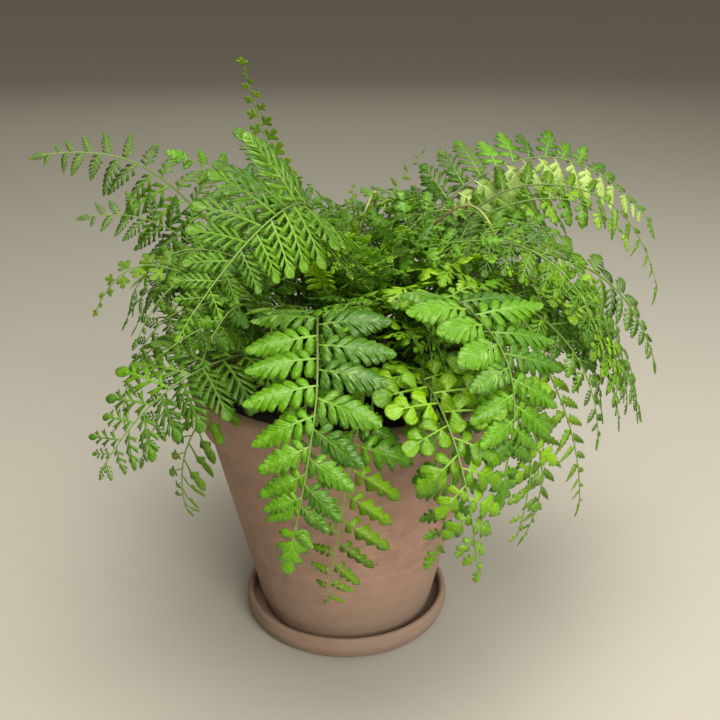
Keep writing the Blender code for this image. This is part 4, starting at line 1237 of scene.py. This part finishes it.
def crownMaterial():
    material, tree, shader = newMaterial("rootstockFibre", 0.9)
    place = objectCoords(tree)
    fibres = noiseOf(stretched(place, (260, 260, 60)), 1.0, 4)
    patches = noiseOf(place, 60, 3)
    colour = mixColours(ramp(fibres, 0.35, 0.65), rootstock["dark"], rootstock["brown"])
    feed(shader, "Base Color", mixColours(ramp(patches, 0.5, 0.75, 0, 0.5), colour, rootstock["green"]))
    addBump(shader, fibres, 0.9, 0.0015)
    return material


def makeCrown():
    profile = []
    for i in range(rootstock["rings"] + 1):
        radius = crown["radius"] * i / rootstock["rings"]
        profile.append((radius, crownHeight(radius * mm) / mm))
    profile += [(crown["radius"], crown["foot"]), (0, crown["foot"])]
    mound = spun("rootCrownMound", profile, rootstock["sides"])
    for vertex in mound.data.vertices:
        if vertex.co.z > (crown["level"] + 0.5) * mm:
            knob = noise.fractal(vertex.co * rootstock["knobScale"], 0.8, 2.0, 3)
            vertex.co.z += knob * rootstock["knobs"] * mm
    mound.data.uv_layers.new(name="leaf")
    draw = random.Random("rootstock")
    halves = rootstock["scaleHalves"]
    flake = addGrid("scaleFlake", len(halves), 3)          # a pointed papery scale
    for index, vertex in enumerate(flake.data.vertices):
        row, column = divmod(index, len(halves))
        along = column / (len(halves) - 1)
        vertex.co = (along, (row - 1) * halves[column], 0.05 * (1 - abs(row - 1)) + 0.18 * along ** 2)
    weld(flake, leafletMesh["weldAt"], outwards=False)
    roots = [plant["path"][0] for plant in [*fronds.values(), *croziers.values()]]
    flakes = []
    for i in range(rootstock["scales"]):
        angle = draw.uniform(0, math.tau)
        out = Vector((math.cos(angle), math.sin(angle), 0))
        spot = cylindrical(*roots[i % len(roots)], 0) + out * draw.uniform(*rootstock["scaleSpread"]) * mm
        spot.z = crownHeight(Vector((spot.x, spot.y)).length) - rootstock["scaleSunk"] * mm
        rise = math.radians(draw.uniform(*rootstock["scaleRise"]))
        lean = out * math.cos(rise) * draw.uniform(*rootstock["scaleLean"])
        course = (Vector((0, 0, 1)) * math.sin(rise) - lean).normalized()
        side = course.cross(out).normalized()
        up = side.cross(course)
        size = rootstock["scaleLength"] * mm * draw.uniform(*rootstock["scaleSizes"])
        piece = copied(flake)
        for vertex in piece.data.vertices:
            x, y, z = vertex.co
            vertex.co = spot + (course * x + side * y - up * z) * size
        flakes.append(piece)
    bpy.data.objects.remove(flake)
    scales = joined(flakes, "rootScales")
    thickened(scales, rootstock["scaleThickness"] * mm, 0)
    whole = joined([mound, scales], "rootCrown")
    smoothed(whole, 45)
    whole.data.materials.clear()
    whole.data.materials.append(crownMaterial())
    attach(whole, "root")
    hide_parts("root_crown")
    print("root crown made")


# Pot and saucer

pot = {
    "bottom": 5.3, "rimHeight": 157.0, "rimRadius": 90.0, "rimWall": 8.8, "lip": 2.6,
    "collarDepth": 27.6, "collarStep": 3.9, "chamfer": 1.2, "fillet": 0.8,
    "baseRadius": 51.2, "baseRound": 2, "slope": 0.2306, "wall": 7.0, "floor": 9.0, "floorRound": 4,
    "drain": 8.0, "drainChamfer": 1,
    "sides": 96, "ringStep": 2.4, "outOfRound": 0.25, "turningMarks": 0.10, "markDensity": 260,
    "tint": (0.302, 0.184, 0.138),
}
saucer = {
    "radius": 62.3, "footRadius": 58.5, "innerRadius": 57.9, "height": 13.6, "floor": 5.0, "lip": 2.0,
    "floorRound": ((2, 0), (0.6, 0.6), (0, 2)),        # in from the wall, up from the floor
    "footRound": ((2, 2), (0.8, 0.6), (0, 0)),         # out from the foot, up from the ground
    "sides": 96, "ringStep": 2.4,
    "tint": (0.278, 0.168, 0.126),
}
clay = {
    "clouds": 0.45, "mottle": 0.30, "rings": 0.16, "broadRings": 0.16,      # their shares in the shade
    "bloom": (0.225, 0.165, 0.128), "pit": (0.060, 0.036, 0.026), "pitShare": 0.55,
    "bump": 0.55, "bumpDepth": 0.0007,
}


def spun(name, profile, sides):
    # A solid turned round the pot's axis from a ring of (radius, height) points in mm
    bpy.ops.object.select_all(action="DESELECT")
    bpy.ops.mesh.primitive_circle_add(vertices=len(profile), fill_type="NOTHING")
    piece = bpy.context.object
    for vertex, (radius, height) in zip(piece.data.vertices, profile):
        vertex.co = Vector((radius, 0, height)) * mm
    bpy.ops.object.mode_set(mode="EDIT")
    bpy.ops.mesh.select_all(action="SELECT")
    bpy.ops.mesh.spin(steps=sides, angle=math.tau, center=(0, 0, 0), axis=(0, 0, 1))
    bpy.ops.object.mode_set(mode="OBJECT")
    piece.name = name
    weld(piece, weldAt)
    return piece


def arc(centre, radius, start, end, points):
    angles = [math.radians(start + (end - start) * i / (points - 1)) for i in range(points)]
    return [(centre[0] + radius * math.cos(a), centre[1] + radius * math.sin(a)) for a in angles]


def filledIn(profile, step):
    # The same profile with points no further apart than step
    dense = []
    for (r, z), (nextR, nextZ) in zip(profile, profile[1:] + profile[:1]):
        parts = max(1, math.ceil(math.hypot(nextR - r, nextZ - z) / step))
        dense += [(r + (nextR - r) * i / parts, z + (nextZ - z) * i / parts) for i in range(parts)]
    return dense


def clayMaterial(name, tint):
    material, tree, shader = newMaterial(name, 0.85)
    place = objectCoords(tree)
    height = partsOf(place)[2]
    clouds = noiseOf(place, 14, 4)
    mottle = noiseOf(place, 110, 5, 0.6)
    grain = noiseOf(place, 1500, 2)
    rings = noiseOf(stretched(place, (1.5, 1.5, 420)), 1.0, 3, 0.6)
    broadRings = noiseOf(stretched(place, (1.5, 1.5, 110)), 1.0, 2)
    shade = total((clouds, clay["clouds"]), (mottle, clay["mottle"]), (rings, clay["rings"]),
                  (broadRings, clay["broadRings"]))
    colour = mixColours(ramp(shade, 0.36, 0.70), scaled(tint, 0.74), scaled(tint, 1.22, 0.012))
    # Greyer bloom towards the foot, where damp has dried
    low = times(ramp(height, 0.075, 0.010), ramp(clouds, 0.35, 0.65, 0.35, 0.8))
    colour = mixColours(low, colour, clay["bloom"])
    cells = addNode("ShaderNodeTexVoronoi", {"Vector": place, "Scale": 170.0, "Randomness": 1.0})
    pick = addNode("ShaderNodeSeparateColor", {0: cells.outputs["Color"]}).outputs[0]
    pit = times(ramp(cells.outputs["Distance"], 0.20, 0.08), ramp(pick, 0.95, 0.97))
    feed(shader, "Base Color", mixColours(times(pit, clay["pitShare"]), colour, clay["pit"]))
    feed(shader, "Roughness", ramp(mottle, 0.3, 0.7, 0.78, 0.92))
    relief = total((rings, 0.9), (mottle, 0.5), (grain, 0.35), (pit, -1.6))
    addBump(shader, relief, clay["bump"], clay["bumpDepth"])
    return material


def handTurned(piece):
    # Slight turning marks and an out-of-round body, away from the drain hole
    for vertex in piece.data.vertices:
        x, y, z = vertex.co
        reach = math.hypot(x, y)
        if reach < 0.02:
            continue
        wave = noise.noise(Vector((0, 0, z * pot["markDensity"]))) * pot["turningMarks"]
        wave += noise.noise(Vector((x * 12, y * 12, z * 9))) * pot["outOfRound"]
        vertex.co.x += x / reach * wave * mm
        vertex.co.y += y / reach * wave * mm


def makePot():
    rimRadius, lip, rimHeight = pot["rimRadius"], pot["lip"], pot["rimHeight"]
    collarFoot = rimHeight - pot["collarDepth"]
    chamfer, fillet, bottom, drain = pot["chamfer"], pot["fillet"], pot["bottom"], pot["drain"]
    baseRound, floorRound, drainChamfer = pot["baseRound"], pot["floorRound"], pot["drainChamfer"]
    floor = bottom + pot["floor"]
    collarRadius = outerRadius(collarFoot) + pot["collarStep"]
    baseEdge = outerRadius(bottom + baseRound) - baseRound
    profile = arc((rimRadius - pot["rimWall"] + lip, rimHeight - lip), lip, 180, 90, 5)
    profile += arc((rimRadius - lip, rimHeight - lip), lip, 90, 0, 5)
    profile += arc((collarRadius - chamfer, collarFoot + chamfer), chamfer, 0, -90, 4)
    profile += arc((outerRadius(collarFoot) + fillet, collarFoot - fillet), fillet, 90, 180, 3)
    profile += arc((baseEdge, bottom + baseRound), baseRound, 0, -90, 5)
    profile += [(drain + drainChamfer, bottom), (drain, bottom + drainChamfer), (drain, floor)]
    profile += [(innerRadius(floor) - floorRound, floor)]
    profile += [(innerRadius(height), height) for height in (floor + floorRound, collarFoot)]
    piece = spun("clayPot", filledIn(profile, pot["ringStep"]), pot["sides"])
    handTurned(piece)
    smoothed(piece, 50)
    piece.data.materials.append(clayMaterial("potClay", pot["tint"]))
    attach(piece, "root")
    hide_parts("pot")
    print("pot made")


def makeSaucer():
    lip, inner, floor, foot = saucer["lip"], saucer["innerRadius"], saucer["floor"], saucer["footRadius"]
    profile = [(0, floor)] + [(inner - back, floor + up) for back, up in saucer["floorRound"]]
    profile += arc((inner + lip, saucer["height"] - lip), lip, 180, 0, 9)
    profile += [(saucer["radius"], saucer["height"] / 2)]
    profile += [(foot + out, up) for out, up in saucer["footRound"]] + [(0, 0)]
    dense = filledIn(profile, saucer["ringStep"])
    piece = spun("claySaucer", dense[:dense.index((0, 0)) + 1], saucer["sides"])
    smoothed(piece, 50)
    piece.data.materials.append(clayMaterial("saucerClay", saucer["tint"]))
    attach(piece, "root")
    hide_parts("saucer")
    print("saucer made")


addCamera()
addStudio()
makePot()
makeSaucer()
makeSoil()
makeCrown()
growPlants()

look = bpy.context.scene.view_settings
look.view_transform = "Standard"
look.look = "None"
look.exposure = studio["exposure"]
print("finished")
